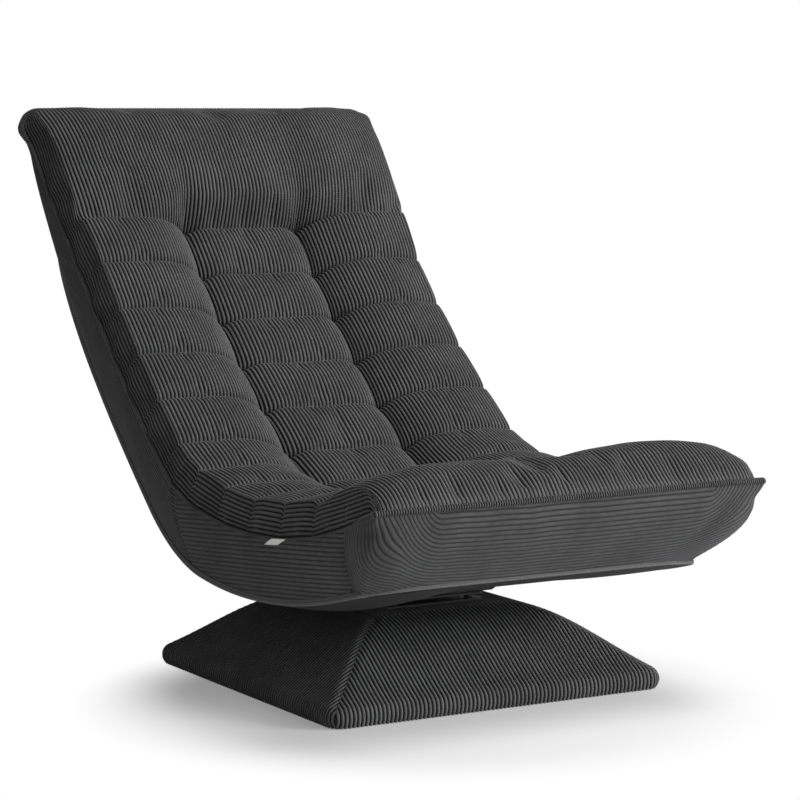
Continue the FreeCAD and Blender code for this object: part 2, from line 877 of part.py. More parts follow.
def bearing_balls():
    """Balls between the swivel plates."""
    return Part.Compound([Part.makeSphere(ball_radius, centre) for centre in ball_places()])


def bearing_cage():
    """Flat ring that spaces the balls."""
    low = ball_z - cage_thickness / 2
    high = ball_z + cage_thickness / 2
    ring = upright(ball_circle + cage_width / 2, low, high)
    ring = ring.cut(upright(ball_circle - cage_width / 2, low, high))
    holes = [upright(ball_radius + cage_clearance, low, high, ball.x, ball.y) for ball in ball_places()]
    return ring.cut(holes)


def bolts(reach, head_z, seat_z, end_z):
    """Four round-head bolts whose heads lie between head_z and seat_z and whose shanks end at end_z."""
    shapes = []
    for x, y in four_corners(reach):
        shank = upright(bolt_radius, min(seat_z, end_z), max(seat_z, end_z), x, y)
        head = upright(bolt_head_radius, min(head_z, seat_z), max(head_z, seat_z), x, y)
        shapes.append(shank.fuse(head).removeSplitter())
    return Part.Compound(shapes)


def nuts(reach, z0):
    """Four hexagon nuts standing on height z0."""
    corner = nut_flats / math.sqrt(3)
    shapes = []
    for x, y in four_corners(reach):
        points = [
            Vector(x + corner * math.cos(math.pi * side / 3), y + corner * math.sin(math.pi * side / 3), z0)
            for side in range(6)
        ]
        nut = Part.Face(Part.makePolygon(points + points[:1])).extrude(UP * nut_height)
        shapes.append(nut.cut(upright(bolt_radius + fixed_clearance, z0, z0 + nut_height, x, y)))
    return Part.Compound(shapes)


def cross_bar(y, margin):
    """Bent flat bar from rail to rail by way of the swivel plate, with a margin added all round."""
    flat_half = cross_bar_flat / 2
    angle = math.asin((y - SEAT.y) / (SEAT.radius + frame_drop))
    rail_z = on_arc(SEAT, angle, 0, frame_drop).z
    start_y = y - cross_bar_width / 2 - margin
    left_half = [(seat_rail_x, rail_z), (flat_half, upper_plate_z1)]
    line = left_half + [(-x, z) for x, z in reversed(left_half)]
    lower = [Vector(x, start_y, z - margin) for x, z in line]
    upper = [Vector(x, start_y, z + cross_bar_thickness + margin) for x, z in reversed(line)]
    corners = lower + upper
    width = cross_bar_width + 2 * margin
    return Part.Face(Part.makePolygon(corners + corners[:1])).extrude(Vector(0, width, 0))


def seat_cross_bars():
    """Two bent flat bars that hang the swivel plate from the seat's rails."""
    rails = pipe(seat_path(), tube_radius)
    bars = []
    for y in (-seat_bolt_reach, seat_bolt_reach):
        bar = drilled(cross_bar(y, 0.0), seat_bolt_reach, upper_plate_z1, bar_z1)
        bars.append(max(bar.cut(rails).Solids, key=lambda piece: piece.Volume))
    return Part.Compound(bars)


def cross_bar_rooms():
    """Slots in the bottom cover for the cross bars and the nuts on them."""
    rooms = [cross_bar(y, bar_slot_margin) for y in (-seat_bolt_reach, seat_bolt_reach)]
    nut_radius = nut_flats / math.sqrt(3) + bar_slot_margin
    for x, y in four_corners(seat_bolt_reach):
        rooms.append(upright(nut_radius, upper_plate_z1, seat_bolt_end + bar_slot_margin, x, y))
    return rooms


def left_and_right(name, shape):
    """Named pair of a left piece and its mirror image."""
    return {name + "_left": shape, name + "_right": mirrored(shape)}


def pieces():
    """Every piece of the chair by name."""
    board_corner = base_corner - cover_wall
    mat_side = inner_side - 2 * board_margin - 2 * mat_margin
    result = {
        "nonslip_mat": slab(mat_side, board_corner, 0, mat_thickness),
        "base_floor_board": slab(inner_side - 2 * board_margin, board_corner, board_z0, board_z1),
        "base_hip_rails": base_hip_rails(),
        "base_top_board": base_top_board(),
        "base_cover": base_cover(),
        "lower_swivel_plate": lower_swivel_plate(),
        "swivel_rivet": swivel_rivet(),
        "base_plate_bolts": bolts(base_bolt_reach, lower_plate_z1 + bolt_head, lower_plate_z1, base_bolt_end),
        "base_plate_nuts": nuts(base_bolt_reach, top_board_z0 - nut_height),
        "bearing_balls": bearing_balls(),
        "bearing_cage": bearing_cage(),
        "upper_swivel_plate": upper_swivel_plate(),
        "seat_plate_bolts": bolts(seat_bolt_reach, upper_plate_z0 - bolt_head, upper_plate_z0, seat_bolt_end),
        "seat_plate_nuts": nuts(seat_bolt_reach, bar_z1),
        "seat_cross_bars": seat_cross_bars(),
        "seat_frame": tube(seat_path()),
        "seat_webbing": seat_webbing(),
        "back_frame": tube(back_path()),
        "back_cross_bar": back_cross_bar(),
        "back_webbing": back_webbing(),
    }
    result.update(soft_parts())
    result.update(left_and_right("seat_hinge_arm", seat_hinge_arm()))
    result.update(left_and_right("back_hinge_arm", back_hinge_arm()))
    result.update(left_and_right("ratchet_gear", ratchet_gear()))
    result.update(left_and_right("pivot_pin", pivot_pin()))
    result.update(left_and_right("pawl", pawl()))
    result.update(left_and_right("pawl_pin", pawl_pin()))
    result.update(left_and_right("pawl_spring", pawl_spring()))
    return result


os.makedirs("parts", exist_ok=True)
for node, shape in pieces().items():
    shape.exportStep("parts/" + node + ".step")
    state = "valid" if shape.isValid() else "INVALID"
    print(node, len(shape.Solids), "solids", round(shape.Volume), "mm3", state)
print("hinge at", round(hinge.y, 3), round(hinge.z, 3))
print("pawl pivot at", round(pawl_pivot.y, 3), round(pawl_pivot.z, 3))
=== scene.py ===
"""Dress a corduroy swivel floor recliner: tufted cushion, piping, covered base and inner hardware.

Metres. +Z is up, the chair faces -Y. The cushion is laid out along its side seam: s is the length along
that seam from the front edge, x runs across the chair and h is the height above the seam.
"""

import logging
import math
from dataclasses import dataclass, field
from enum import Enum

import bpy
import numpy as np
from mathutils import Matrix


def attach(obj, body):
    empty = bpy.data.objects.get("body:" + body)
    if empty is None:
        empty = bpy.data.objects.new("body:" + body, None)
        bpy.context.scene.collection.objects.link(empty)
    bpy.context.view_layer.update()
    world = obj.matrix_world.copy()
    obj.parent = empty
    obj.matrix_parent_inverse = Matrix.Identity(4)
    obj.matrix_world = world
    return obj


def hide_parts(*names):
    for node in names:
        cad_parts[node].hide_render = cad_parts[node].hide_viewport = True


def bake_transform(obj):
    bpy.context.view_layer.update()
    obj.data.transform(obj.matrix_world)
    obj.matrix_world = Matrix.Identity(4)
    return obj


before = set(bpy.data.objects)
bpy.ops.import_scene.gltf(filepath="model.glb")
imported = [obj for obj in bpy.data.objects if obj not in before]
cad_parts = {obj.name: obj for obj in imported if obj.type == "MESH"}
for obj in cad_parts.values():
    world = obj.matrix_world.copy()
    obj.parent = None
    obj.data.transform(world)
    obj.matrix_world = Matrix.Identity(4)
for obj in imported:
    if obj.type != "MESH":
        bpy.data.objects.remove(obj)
log = logging.getLogger("recliner")

Array = np.ndarray
Colour = tuple[float, float, float]
Pair = tuple[float, float]
Sizes = tuple[float, ...]
Material = bpy.types.Material
NodeTree = bpy.types.NodeTree
Piece = bpy.types.Object
Socket = bpy.types.NodeSocket
MM = 0.001
WALE_MAP = "wales"
RIDGE_POWER = 0.8
LATTICE_CELLS = 64
LATTICE_START = 20.0
RING_SPACING = 4.0 * MM
TINY = 1e-9


# Small formulas

def smooth_step(value: Array, start: float, end: float) -> Array:
    """Return 0 before start, 1 after end and the cubic 3t^2 - 2t^3 between them."""
    t = np.clip((value - start) / (end - start), 0.0, 1.0)
    return t * t * (3.0 - 2.0 * t)


def smooth_min(first: Array, second: Array, radius: float) -> Array:
    """Return the lower of two heights, with a parabola over the corner where they cross.

    Args:
        first: One set of heights.
        second: The other set of heights.
        radius: Difference of the heights within which the parabola takes over.

    Returns:
        The rounded minimum.
    """
    share = np.clip(0.5 + 0.5 * (second - first) / radius, 0.0, 1.0)
    return second + (first - second) * share - radius * share * (1.0 - share)


def quarter_round(reach: Array) -> Array:
    """Return the height of a quarter circle, 0 and upright at reach 0, 1 and level from reach 1."""
    return np.sqrt(1.0 - (1.0 - np.clip(reach, 0.0, 1.0)) ** 2)


def groove(phase: Array) -> Array:
    """Return 1 in the groove at each whole number of phase and 0 on top of the round ridge between two."""
    return 1.0 - np.abs(np.sin(math.pi * phase)) ** RIDGE_POWER


def bell(value: Array, width: float) -> Array:
    """Return the bell curve exp(-(value / width)^2)."""
    return np.exp(-(value / width) ** 2)


def unit(vectors: Array) -> Array:
    """Return the rows of an array divided by their lengths."""
    return vectors / np.linalg.norm(vectors, axis=1, keepdims=True)


def run_along(points: Array) -> Array:
    """Return the length of an open line from its first point to each of its points."""
    return np.concatenate([[0.0], np.cumsum(np.linalg.norm(np.diff(points, axis=0), axis=1))])


def crowded(start: float, end: float, steps: int) -> Array:
    """Return steps + 1 values from start to end that crowd together at both ends, as a half cosine."""
    turn = np.linspace(0.0, math.pi, steps + 1)
    return start + (end - start) * (0.5 - 0.5 * np.cos(turn))


def lattice_noise(across: Array, along: Array, seed: int) -> Array:
    """Return smooth noise from -1 to 1: random values on a unit lattice, joined by cubic steps.

    Args:
        across: First coordinate, in lattice cells.
        along: Second coordinate, in lattice cells, of the same shape.
        seed: Seed of the lattice.

    Returns:
        Noise of the same shape.
    """
    table = np.random.default_rng(seed).uniform(-1.0, 1.0, (LATTICE_CELLS, LATTICE_CELLS))
    across = across + LATTICE_START
    along = along + LATTICE_START
    low_a = np.floor(across).astype(int)
    low_b = np.floor(along).astype(int)
    part_a = smooth_step(across - low_a, 0.0, 1.0)
    part_b = smooth_step(along - low_b, 0.0, 1.0)

    def corner(step_a: int, step_b: int) -> Array:
        """Return the lattice value at one corner of each point's cell."""
        return table[(low_a + step_a) % LATTICE_CELLS, (low_b + step_b) % LATTICE_CELLS]

    near = corner(0, 0) * (1.0 - part_b) + corner(0, 1) * part_b
    far = corner(1, 0) * (1.0 - part_b) + corner(1, 1) * part_b
    return near * (1.0 - part_a) + far * part_a


def grid_normals(points: Array) -> Array:
    """Return unit normals of a grid surface: the step along columns crossed with the step along rows."""
    along_rows = np.gradient(points, axis=0)
    along_columns = np.gradient(points, axis=1)
    normals = np.cross(along_columns, along_rows)
    return normals / np.maximum(np.linalg.norm(normals, axis=2, keepdims=True), 1e-12)


def resample(values: Array, rows: Array, columns: Array) -> Array:
    """Read a coarse grid at fractional rows and columns with cubic weights through its points.

    Args:
        values: Coarse grid, rows by columns by channels.
        rows: Fractional row of each fine row.
        columns: Fractional column of each fine column.

    Returns:
        Fine grid, len(rows) by len(columns) by channels.
    """

    def along_first(table: Array, places: Array) -> Array:
        """Blend four neighbouring rows for each place."""
        low = np.floor(places).astype(int)
        t = (places - low)[:, None, None]
        last = len(table) - 1
        before, first, second, after = (table[np.clip(low + step, 0, last)] for step in (-1, 0, 1, 2))
        slope = second - before
        bend = 2.0 * before - 5.0 * first + 4.0 * second - after
        twist = 3.0 * (first - second) + after - before
        return first + 0.5 * t * (slope + t * (bend + t * twist))

    fine_rows = along_first(values, rows)
    return along_first(fine_rows.swapaxes(0, 1), columns).swapaxes(0, 1)


# Meshes

@dataclass
class Patch:
    """Faces of equal corner count with the wale coordinates of their corners.

    Attributes:
        faces: Vertex numbers, faces by corners, counterclockwise from outside.
        wales: Wale count and length along the wale for every vertex of the mesh.
        slot: Number of the material slot.
    """

    faces: Array
    wales: Array
    slot: int = 0


def grid_numbers(rows: int, columns: int, first: int = 0) -> Array:
    """Return the vertex numbers of a grid, row by row."""
    return first + np.arange(rows * columns).reshape(rows, columns)


def sheet_faces(rows: int, columns: int, first: int = 0) -> Array:
    """Return quads of a grid of vertices, counterclockwise when columns run right and rows run up."""
    numbers = grid_numbers(rows, columns, first)
    corners = (numbers[:-1, :-1], numbers[:-1, 1:], numbers[1:, 1:], numbers[1:, :-1])
    return np.stack([corner.ravel() for corner in corners], axis=1)


def new_piece(name: str, points: Array, patches: list[Patch],
              materials: list[Material]) -> Piece:
    """Make a smooth mesh object at the origin from points and patches of faces.

    Args:
        name: Name of the piece.
        points: Vertex places, n by 3.
        patches: Faces with their wale coordinates.
        materials: Materials in slot order.

    Returns:
        The linked object.
    """
    corners = np.concatenate([patch.faces.ravel() for patch in patches])
    counts = np.concatenate([np.full(len(patch.faces), patch.faces.shape[1]) for patch in patches])
    starts = np.concatenate([[0], np.cumsum(counts)[:-1]])
    slots = np.concatenate([np.full(len(patch.faces), patch.slot) for patch in patches])
    wales = np.concatenate([patch.wales[patch.faces.ravel()] for patch in patches])
    mesh = bpy.data.meshes.new(name)
    mesh.vertices.add(len(points))
    mesh.vertices.foreach_set("co", np.ascontiguousarray(points, dtype=np.float32).ravel())
    mesh.loops.add(len(corners))
    mesh.loops.foreach_set("vertex_index", corners.astype(np.int32))
    mesh.polygons.add(len(counts))
    mesh.polygons.foreach_set("loop_start", starts.astype(np.int32))
    mesh.polygons.foreach_set("material_index", slots.astype(np.int32))
    mesh.uv_layers.new(name=WALE_MAP)
    mesh.uv_layers[WALE_MAP].uv.foreach_set("vector", wales.astype(np.float32).ravel())
    for material in materials:
        mesh.materials.append(material)
    mesh.update(calc_edges=True)
    mesh.shade_smooth()
    piece = bpy.data.objects.new(name, mesh)
    bpy.context.scene.collection.objects.link(piece)
    return piece


def even_ring(points: Array, extra: Array,
              spacing: float) -> tuple[Array, Array, Array]:
    """Space points evenly along a closed line.

    Args:
        points: Corners of the closed line, n by 3, the last one joined to the first.
        extra: Other values at each corner, n by any number.
        spacing: Wanted distance between points.

    Returns:
        The new points, the other values at each and the length along the line at each.
    """
    closed = np.vstack([points, points[:1]])
    lengths = run_along(closed)
    places = np.linspace(0.0, lengths[-1], int(round(lengths[-1] / spacing)), endpoint=False)
    table = np.hstack([closed, np.vstack([extra, extra[:1]])])
    even = np.stack([np.interp(places, lengths, column) for column in table.T], axis=1)
    return even[:, :3], even[:, 3:], places


def rounded_ring(points: Array, spread: float) -> Array:
    """Round the corners of a closed line: blur it along its length with a bell curve.

    Args:
        points: Points of the closed line, n by 3.
        spread: Standard deviation of the bell curve.

    Returns:
        The blurred place of each point.
    """
    even, _, places = even_ring(points, points, RING_SPACING)
    total = places[-1] + places[1]
    waves = np.fft.rfftfreq(len(even), d=places[1])
    kept = np.exp(-2.0 * (math.pi * waves * spread) ** 2)[:, None]
    blurred = np.fft.irfft(np.fft.rfft(even, axis=0) * kept, n=len(even), axis=0)
    lengths = run_along(points)
    return np.stack([np.interp(lengths, places, column, period=total) for column in blurred.T], axis=1)


def ring_smoothed(points: Array, passes: int) -> Array:
    """Return a closed line with each point moved to the mean of itself and its neighbours, repeatedly."""
    for _ in range(passes):
        points = (np.roll(points, 1, axis=0) + 2.0 * points + np.roll(points, -1, axis=0)) / 4.0
    return points


# Finishes

class ShaderSheet:
    """Node tree of a material or group, with short ways to add and join nodes."""

    def __init__(self, tree: NodeTree) -> None:
        """Start with an emptied tree."""
        self.tree = tree
        tree.nodes.clear()

    def add(self, kind: str, inputs: dict | None = None, **settings: object) -> bpy.types.Node:
        """Add a node, set its properties, and set or join its inputs.

        Args:
            kind: Node type without the ShaderNode prefix, or a full type name.
            inputs: Values or output sockets by input name or number.
            settings: Properties of the node.

        Returns:
            The node.
        """
        full = kind if kind.startswith("Node") else "ShaderNode" + kind
        node = self.tree.nodes.new(full)
        for name, value in settings.items():
            setattr(node, name, value)
        for key, value in (inputs or {}).items():
            if isinstance(value, Socket):
                self.tree.links.new(value, node.inputs[key])
            else:
                node.inputs[key].default_value = value
        return node

    def math(self, operation: str, first: object, second: object = 0.0) -> Socket:
        """Return the result of a math node on two numbers or sockets."""
        return self.add("Math", {0: first, 1: second}, operation=operation).outputs[0]

    def ramp(self, value: object, low: float, high: float, start: float = 0.0,
             end: float = 1.0) -> Socket:
        """Return value mapped smoothly from low..high to start..end, held beyond."""
        inputs = {"Value": value, "From Min": low, "From Max": high, "To Min": start, "To Max": end}
        return self.add("MapRange", inputs, interpolation_type="SMOOTHSTEP").outputs["Result"]

    def noise(self, vector: object, scale: float, detail: float = 2.0) -> Socket:
        """Return the value of a noise texture."""
        inputs = {"Vector": vector, "Scale": scale, "Detail": detail, "Roughness": 0.55}
        return self.add("TexNoise", inputs).outputs["Fac"]

    def mix(self, factor: object, first: object, second: object) -> Socket:
        """Return two colours mixed by a factor."""
        return self.add("Mix", {0: factor, 6: first, 7: second}, data_type="RGBA").outputs[2]

    def stretched(self, vector: object, scale: Colour) -> Socket:
        """Return a vector scaled by its own amount on each axis."""
        return self.add("Mapping", {"Vector": vector, "Scale": scale}).outputs["Vector"]

    def brightened(self, colour: object, factor: object) -> Socket:
        """Return a colour multiplied by a factor."""
        return self.add("VectorMath", {0: colour, "Scale": factor}, operation="SCALE").outputs[0]

    def place(self) -> Socket:
        """Return the Object coordinates."""
        return self.add("TexCoord").outputs["Object"]

    def wale_map(self) -> Socket:
        """Return the coordinates of the wale map."""
        return self.add("UVMap", uv_map=WALE_MAP).outputs["UV"]


def grey(tone: float, blue: float | None = None) -> Colour:
    """Return a grey, with a blue of its own where one is given."""
    return (tone, tone, tone if blue is None else blue)


def solid(colour: Colour) -> tuple[float, float, float, float]:
    """Return a colour with full alpha."""
    return (*colour, 1.0)


def new_group(name: str, inputs: dict[str, str],
              outputs: dict[str, str]) -> tuple[ShaderSheet, bpy.types.NodeOutputs]:
    """Make a shader node group with its sockets.

    Args:
        name: Name of the group.
        inputs: Socket types by input name, without their NodeSocket prefix.
        outputs: Socket types by output name.

    Returns:
        Its sheet and what is given to it.
    """
    tree = bpy.data.node_groups.new(name, "ShaderNodeTree")
    for in_out, sockets in (("INPUT", inputs), ("OUTPUT", outputs)):
        for label, kind in sockets.items():
            tree.interface.new_socket(label, in_out=in_out, socket_type="NodeSocket" + kind)
    sheet = ShaderSheet(tree)
    return sheet, sheet.add("NodeGroupInput").outputs


def wale_pile_group() -> NodeTree:
    """Make the corduroy effect: painted shade in the grooves between wales and brushed pile on them.

    Returns:
        The group. Its vector counts wales in X and wale widths along them in Y.
    """
    sheet, given = new_group(
        "Wale Pile",
        {"Wales": "Vector", "Pile": "Color", "Groove": "Color", "Groove Width": "Float", "Brushing": "Float"},
        {"Colour": "Color", "Roughness": "Float", "Height": "Float"})
    wales = given["Wales"]
    part = sheet.math("FRACT", sheet.add("SeparateXYZ", {0: wales}).outputs["X"])
    centre = sheet.math("ABSOLUTE", sheet.math("SUBTRACT", part, 0.5))
    off_ridge = sheet.math("SUBTRACT", 0.5, centre)
    # ridge is 1 on the wales' tops and 0 in the grooves, where the Groove colour is painted shade.
    ridge = sheet.ramp(sheet.math("DIVIDE", off_ridge, given["Groove Width"]), 0.0, 1.0)
    streak = sheet.noise(sheet.stretched(wales, (1.0, 0.22, 1.0)), 1.7, 3.0)
    tuft = sheet.noise(sheet.stretched(wales, (3.2, 1.3, 1.0)), 2.4)
    cloud = sheet.noise(wales, 0.075)
    streaks = sheet.ramp(streak, 0.25, 0.75, -0.5, 0.5)
    tone = sheet.math("ADD", streaks, sheet.ramp(cloud, 0.3, 0.7, -0.4, 0.4))
    tone = sheet.math("ADD", tone, sheet.ramp(tuft, 0.25, 0.75, -0.55, 0.55))
    lift = sheet.math("ADD", sheet.math("MULTIPLY", tone, given["Brushing"]), 1.0)
    sheet.add("NodeGroupOutput", {
        "Colour": sheet.mix(ridge, given["Groove"], sheet.brightened(given["Pile"], lift)),
        "Roughness": sheet.ramp(tuft, 0.2, 0.8, 0.82, 0.96),
        "Height": sheet.math("ADD", ridge, sheet.math("MULTIPLY", tuft, 0.55))})
    return sheet.tree


def plain_weave_group() -> NodeTree:
    """Make a plain weave: crossed rows of threads with a little colour change from thread to thread.

    Returns:
        The group. Its vector counts threads in X and Y.
    """
    sheet, given = new_group("Plain Weave", {"Threads": "Vector", "Thread": "Color", "Gap": "Color"},
                             {"Colour": "Color", "Height": "Float"})
    axes = sheet.add("SeparateXYZ", {0: given["Threads"]}).outputs
    warp, weft = (sheet.math("SINE", sheet.math("MULTIPLY", axes[axis], math.pi)) for axis in "XY")
    cover = sheet.ramp(sheet.math("ABSOLUTE", sheet.math("MULTIPLY", warp, weft)), 0.0, 0.55)
    slub = sheet.noise(sheet.stretched(given["Threads"], (0.9, 0.06, 1.0)), 1.0)
    thread = sheet.brightened(given["Thread"], sheet.ramp(slub, 0.25, 0.75, 0.8, 1.2))
    sheet.add("NodeGroupOutput", {"Colour": sheet.mix(cover, given["Gap"], thread), "Height": cover})
    return sheet.tree


def speckle_group() -> NodeTree:
    """Make a fine two-tone speckle with soft larger stains, for metal, rubber and moulded parts.

    Returns:
        The group. Its mask is 1 on the spots.
    """
    sheet, given = new_group(
        "Speckle", {"Vector": "Vector", "Scale": "Float", "Ground": "Color", "Spot": "Color"},
        {"Colour": "Color", "Mask": "Float", "Height": "Float"})
    vector, scale = given["Vector"], given["Scale"]
    fine = sheet.add("TexNoise", {"Vector": vector, "Scale": scale, "Detail": 4.0}).outputs["Fac"]
    wide_scale = sheet.math("MULTIPLY", scale, 0.08)
    wide = sheet.add("TexNoise", {"Vector": vector, "Scale": wide_scale}).outputs["Fac"]
    both = sheet.math("ADD", sheet.math("MULTIPLY", fine, 0.6), sheet.math("MULTIPLY", wide, 0.4))
    mask = sheet.ramp(both, 0.42, 0.60)
    sheet.add("NodeGroupOutput", {"Colour": sheet.mix(mask, given["Ground"], given["Spot"]), "Mask": mask,
                                  "Height": fine})
    return sheet.tree


@dataclass(frozen=True)
class Effects:
    """The shared shader node groups."""

    wale_pile: NodeTree = field(default_factory=wale_pile_group)
    plain_weave: NodeTree = field(default_factory=plain_weave_group)
    speckle: NodeTree = field(default_factory=speckle_group)


def blank_material(name: str) -> ShaderSheet:
    """Return the sheet of a new node material with an empty tree."""
    material = bpy.data.materials.new(name)
    material.use_nodes = True
    return ShaderSheet(material.node_tree)


def shaded(name: str, sheet: ShaderSheet, inputs: dict, height: Socket,
           depth: float) -> Material:
    """Finish a material with a Principled shader and a bump.

    Args:
        name: Name of the material.
        sheet: Sheet of the material.
        inputs: Inputs of the shader.
        height: Height for the bump.
        depth: Distance of the bump, in metres.

    Returns:
        The material.
    """
    bump = sheet.add("Bump", {"Height": height, "Distance": depth, "Strength": 1.0})
    shader = sheet.add("BsdfPrincipled", {**inputs, "Normal": bump.outputs["Normal"]})
    sheet.add("OutputMaterial", {"Surface": shader.outputs["BSDF"]})
    return bpy.data.materials[name]


@dataclass(frozen=True)
class Corduroy:
    """Brushed wide-wale corduroy, with painted shade in the grooves between its wales."""

    name: str = "charcoal_corduroy"
    pile: Colour = (0.105, 0.105, 0.107)
    # groove and groove_width are painted shade: the colour and width of the dark between the wales.
    groove: Colour = (0.003, 0.003, 0.0033)
    groove_width: float = 0.42
    brushing: float = 0.30
    relief: float = 0.35 * MM
    gloss: float = 0.12
    sheen: float = 0.10
    sheen_roughness: float = 0.45
    sheen_tint: Colour = (0.75, 0.76, 0.80)

    def material(self, effects: Effects) -> Material:
        """Return the material, laid along the wale map."""
        sheet = blank_material(self.name)
        looks = {"Wales": sheet.wale_map(), "Pile": solid(self.pile), "Groove": solid(self.groove),
                 "Groove Width": self.groove_width, "Brushing": self.brushing}
        pile = sheet.add("Group", looks, node_tree=effects.wale_pile).outputs
        inputs = {"Base Color": pile["Colour"], "Roughness": pile["Roughness"],
                  "Specular IOR Level": self.gloss, "Sheen Weight": self.sheen,
                  "Sheen Roughness": self.sheen_roughness, "Sheen Tint": solid(self.sheen_tint)}
        return shaded(self.name, sheet, inputs, pile["Height"], self.relief)


@dataclass(frozen=True)
class WovenCloth:
    """Plain woven cloth, such as lining, binding tape or webbing.

    Attributes:
        name: Name of the material.
        thread: Colour of the threads.
        gap: Colour between the threads.
        pitch: Distance from thread to thread, where it doesn't follow the wale map.
        mapped: Whether it follows the wale map, which then counts threads.
        roughness: Roughness of the surface.
        gloss: Specular level.
        sheen: Weight of the sheen.
        relief: Height of the bump.
    """

    name: str
    thread: Colour
    gap: Colour
    pitch: float = 1.1 * MM
    mapped: bool = True
    roughness: float = 0.86
    gloss: float = 0.2
    sheen: float = 0.05
    relief: float = 0.12 * MM

    def material(self, effects: Effects) -> Material:
        """Return the material."""
        sheet = blank_material(self.name)
        if self.mapped:
            threads = sheet.wale_map()
        else:
            threads = sheet.stretched(sheet.place(), (1.0 / self.pitch, 1.0 / self.pitch, 0.0))
        weave = sheet.add("Group", {"Threads": threads, "Thread": solid(self.thread), "Gap": solid(self.gap)},
                          node_tree=effects.plain_weave).outputs
        inputs = {"Base Color": weave["Colour"], "Roughness": self.roughness,
                  "Specular IOR Level": self.gloss, "Sheen Weight": self.sheen}
        return shaded(self.name, sheet, inputs, weave["Height"], self.relief)


@dataclass(frozen=True)
class HardFinish:
    """Speckled finish of a hard part.

    Attributes:
        name: Name of the material.
        ground: Main colour.
        spot: Colour of the speckle.
        metallic: Share of metal.
        roughness: Roughness of the surface.
        grain: Speckles per metre.
        relief: Height of the bump.
        spot_roughness: How much rougher the speckle is.
    """

    name: str
    ground: Colour
    spot: Colour
    metallic: float
    roughness: float
    grain: float
    relief: float
    spot_roughness: float = 0.18

    def material(self, effects: Effects) -> Material:
        """Return the material, laid by Object coordinates."""
        sheet = blank_material(self.name)
        looks = {"Vector": sheet.place(), "Scale": self.grain, "Ground": solid(self.ground),
                 "Spot": solid(self.spot)}
        speckle = sheet.add("Group", looks, node_tree=effects.speckle).outputs
        roughest = min(1.0, self.roughness + self.spot_roughness)
        rough = sheet.ramp(speckle["Mask"], 0.0, 1.0, self.roughness, roughest)
        inputs = {"Base Color": speckle["Colour"], "Metallic": self.metallic, "Roughness": rough}
        return shaded(self.name, sheet, inputs, speckle["Height"], self.relief)


@dataclass(frozen=True)
class Plywood:
    """Birch plywood with long grain and thin dark plies."""

    name: str = "birch_plywood"
    early: Colour = (0.62, 0.45, 0.28)
    late: Colour = (0.46, 0.30, 0.16)
    figure: Colour = (6.0, 60.0, 420.0)
    pores: Colour = (40.0, 900.0, 900.0)
    roughness: float = 0.62
    relief: float = 0.15 * MM

    def material(self) -> Material:
        """Return the material, grain along X by Object coordinates."""
        sheet = blank_material(self.name)
        place = sheet.place()
        figure = sheet.noise(sheet.stretched(place, self.figure), 1.0, 5.0)
        pores = sheet.noise(sheet.stretched(place, self.pores), 1.0)
        tone = sheet.ramp(sheet.math("ADD", figure, sheet.math("MULTIPLY", pores, 0.35)), 0.45, 0.85)
        colour = sheet.mix(tone, solid(self.early), solid(self.late))
        inputs = {"Base Color": colour, "Roughness": self.roughness}
        return shaded(self.name, sheet, inputs, pores, self.relief)


class Slot(Enum):
    """Material slots of the record."""

    CORDUROY = "corduroy"
    LINING = "lining"
    WEBBING = "webbing"
    BLACK_STEEL = "black_steel"
    ZINC_STEEL = "zinc_steel"
    PLYWOOD = "plywood"
    RUBBER = "rubber"
    NYLON = "nylon"


class Finishes:
    """Every material of the chair, made once."""

    def __init__(self) -> None:
        """Make the materials."""
        effects = Effects()
        hard = {
            Slot.BLACK_STEEL: HardFinish("black_powder_coat", grey(0.012, 0.013), grey(0.03, 0.031),
                                         0.0, 0.42, 900, 0.05 * MM),
            Slot.ZINC_STEEL: HardFinish("dull_zinc_plate", grey(0.20, 0.21), grey(0.14, 0.15),
                                        1.0, 0.48, 400, 0.02 * MM),
            Slot.RUBBER: HardFinish("matt_rubber", grey(0.015), grey(0.03), 0.0, 0.85, 700, 0.10 * MM),
            Slot.NYLON: HardFinish("natural_nylon", (0.62, 0.60, 0.55), (0.52, 0.50, 0.45),
                                   0.0, 0.45, 500, 0.03 * MM),
        }
        cloth = {
            Slot.CORDUROY: Corduroy(),
            # The lining's colour is a dark cloth, darkened further as painted shade under the seat.
            Slot.LINING: WovenCloth("charcoal_lining", grey(0.014, 0.0145), grey(0.005)),
            Slot.WEBBING: WovenCloth("black_webbing", grey(0.035, 0.037), grey(0.01), 2.0 * MM, False),
        }
        self.by_slot = {slot: finish.material(effects) for slot, finish in {**cloth, **hard}.items()}
        self.by_slot[Slot.PLYWOOD] = Plywood().material()
        # The band's groove colour is painted shade too, lighter than on the top.
        self.band = Corduroy("charcoal_corduroy_band", grey(0.078, 0.080), grey(0.028, 0.0285), 0.34,
                             relief=0.8 * MM).material(effects)
        # Painted light: the base's pile is lighter than the top's, standing in for light and highlights on
        # its wales.
        self.base = Corduroy("charcoal_corduroy_base_lit", grey(0.138, 0.140),
                             groove_width=0.40).material(effects)
        self.tape = WovenCloth("grey_binding_tape", grey(0.16, 0.163), grey(0.03)).material(effects)
        self.tag = WovenCloth("white_tag_cloth", grey(0.92, 0.90), grey(0.80, 0.78)).material(effects)

    def __getitem__(self, slot: Slot) -> Material:
        """Return the material of a slot."""
        return self.by_slot[slot]


# The cushion's layout

@dataclass(frozen=True)
class SeamArc:
    """One arc of the side seam in the YZ plane, with its centre on the sitter's side."""

    y: float
    z: float
    radius: float
    start_s: float
    start_angle: float


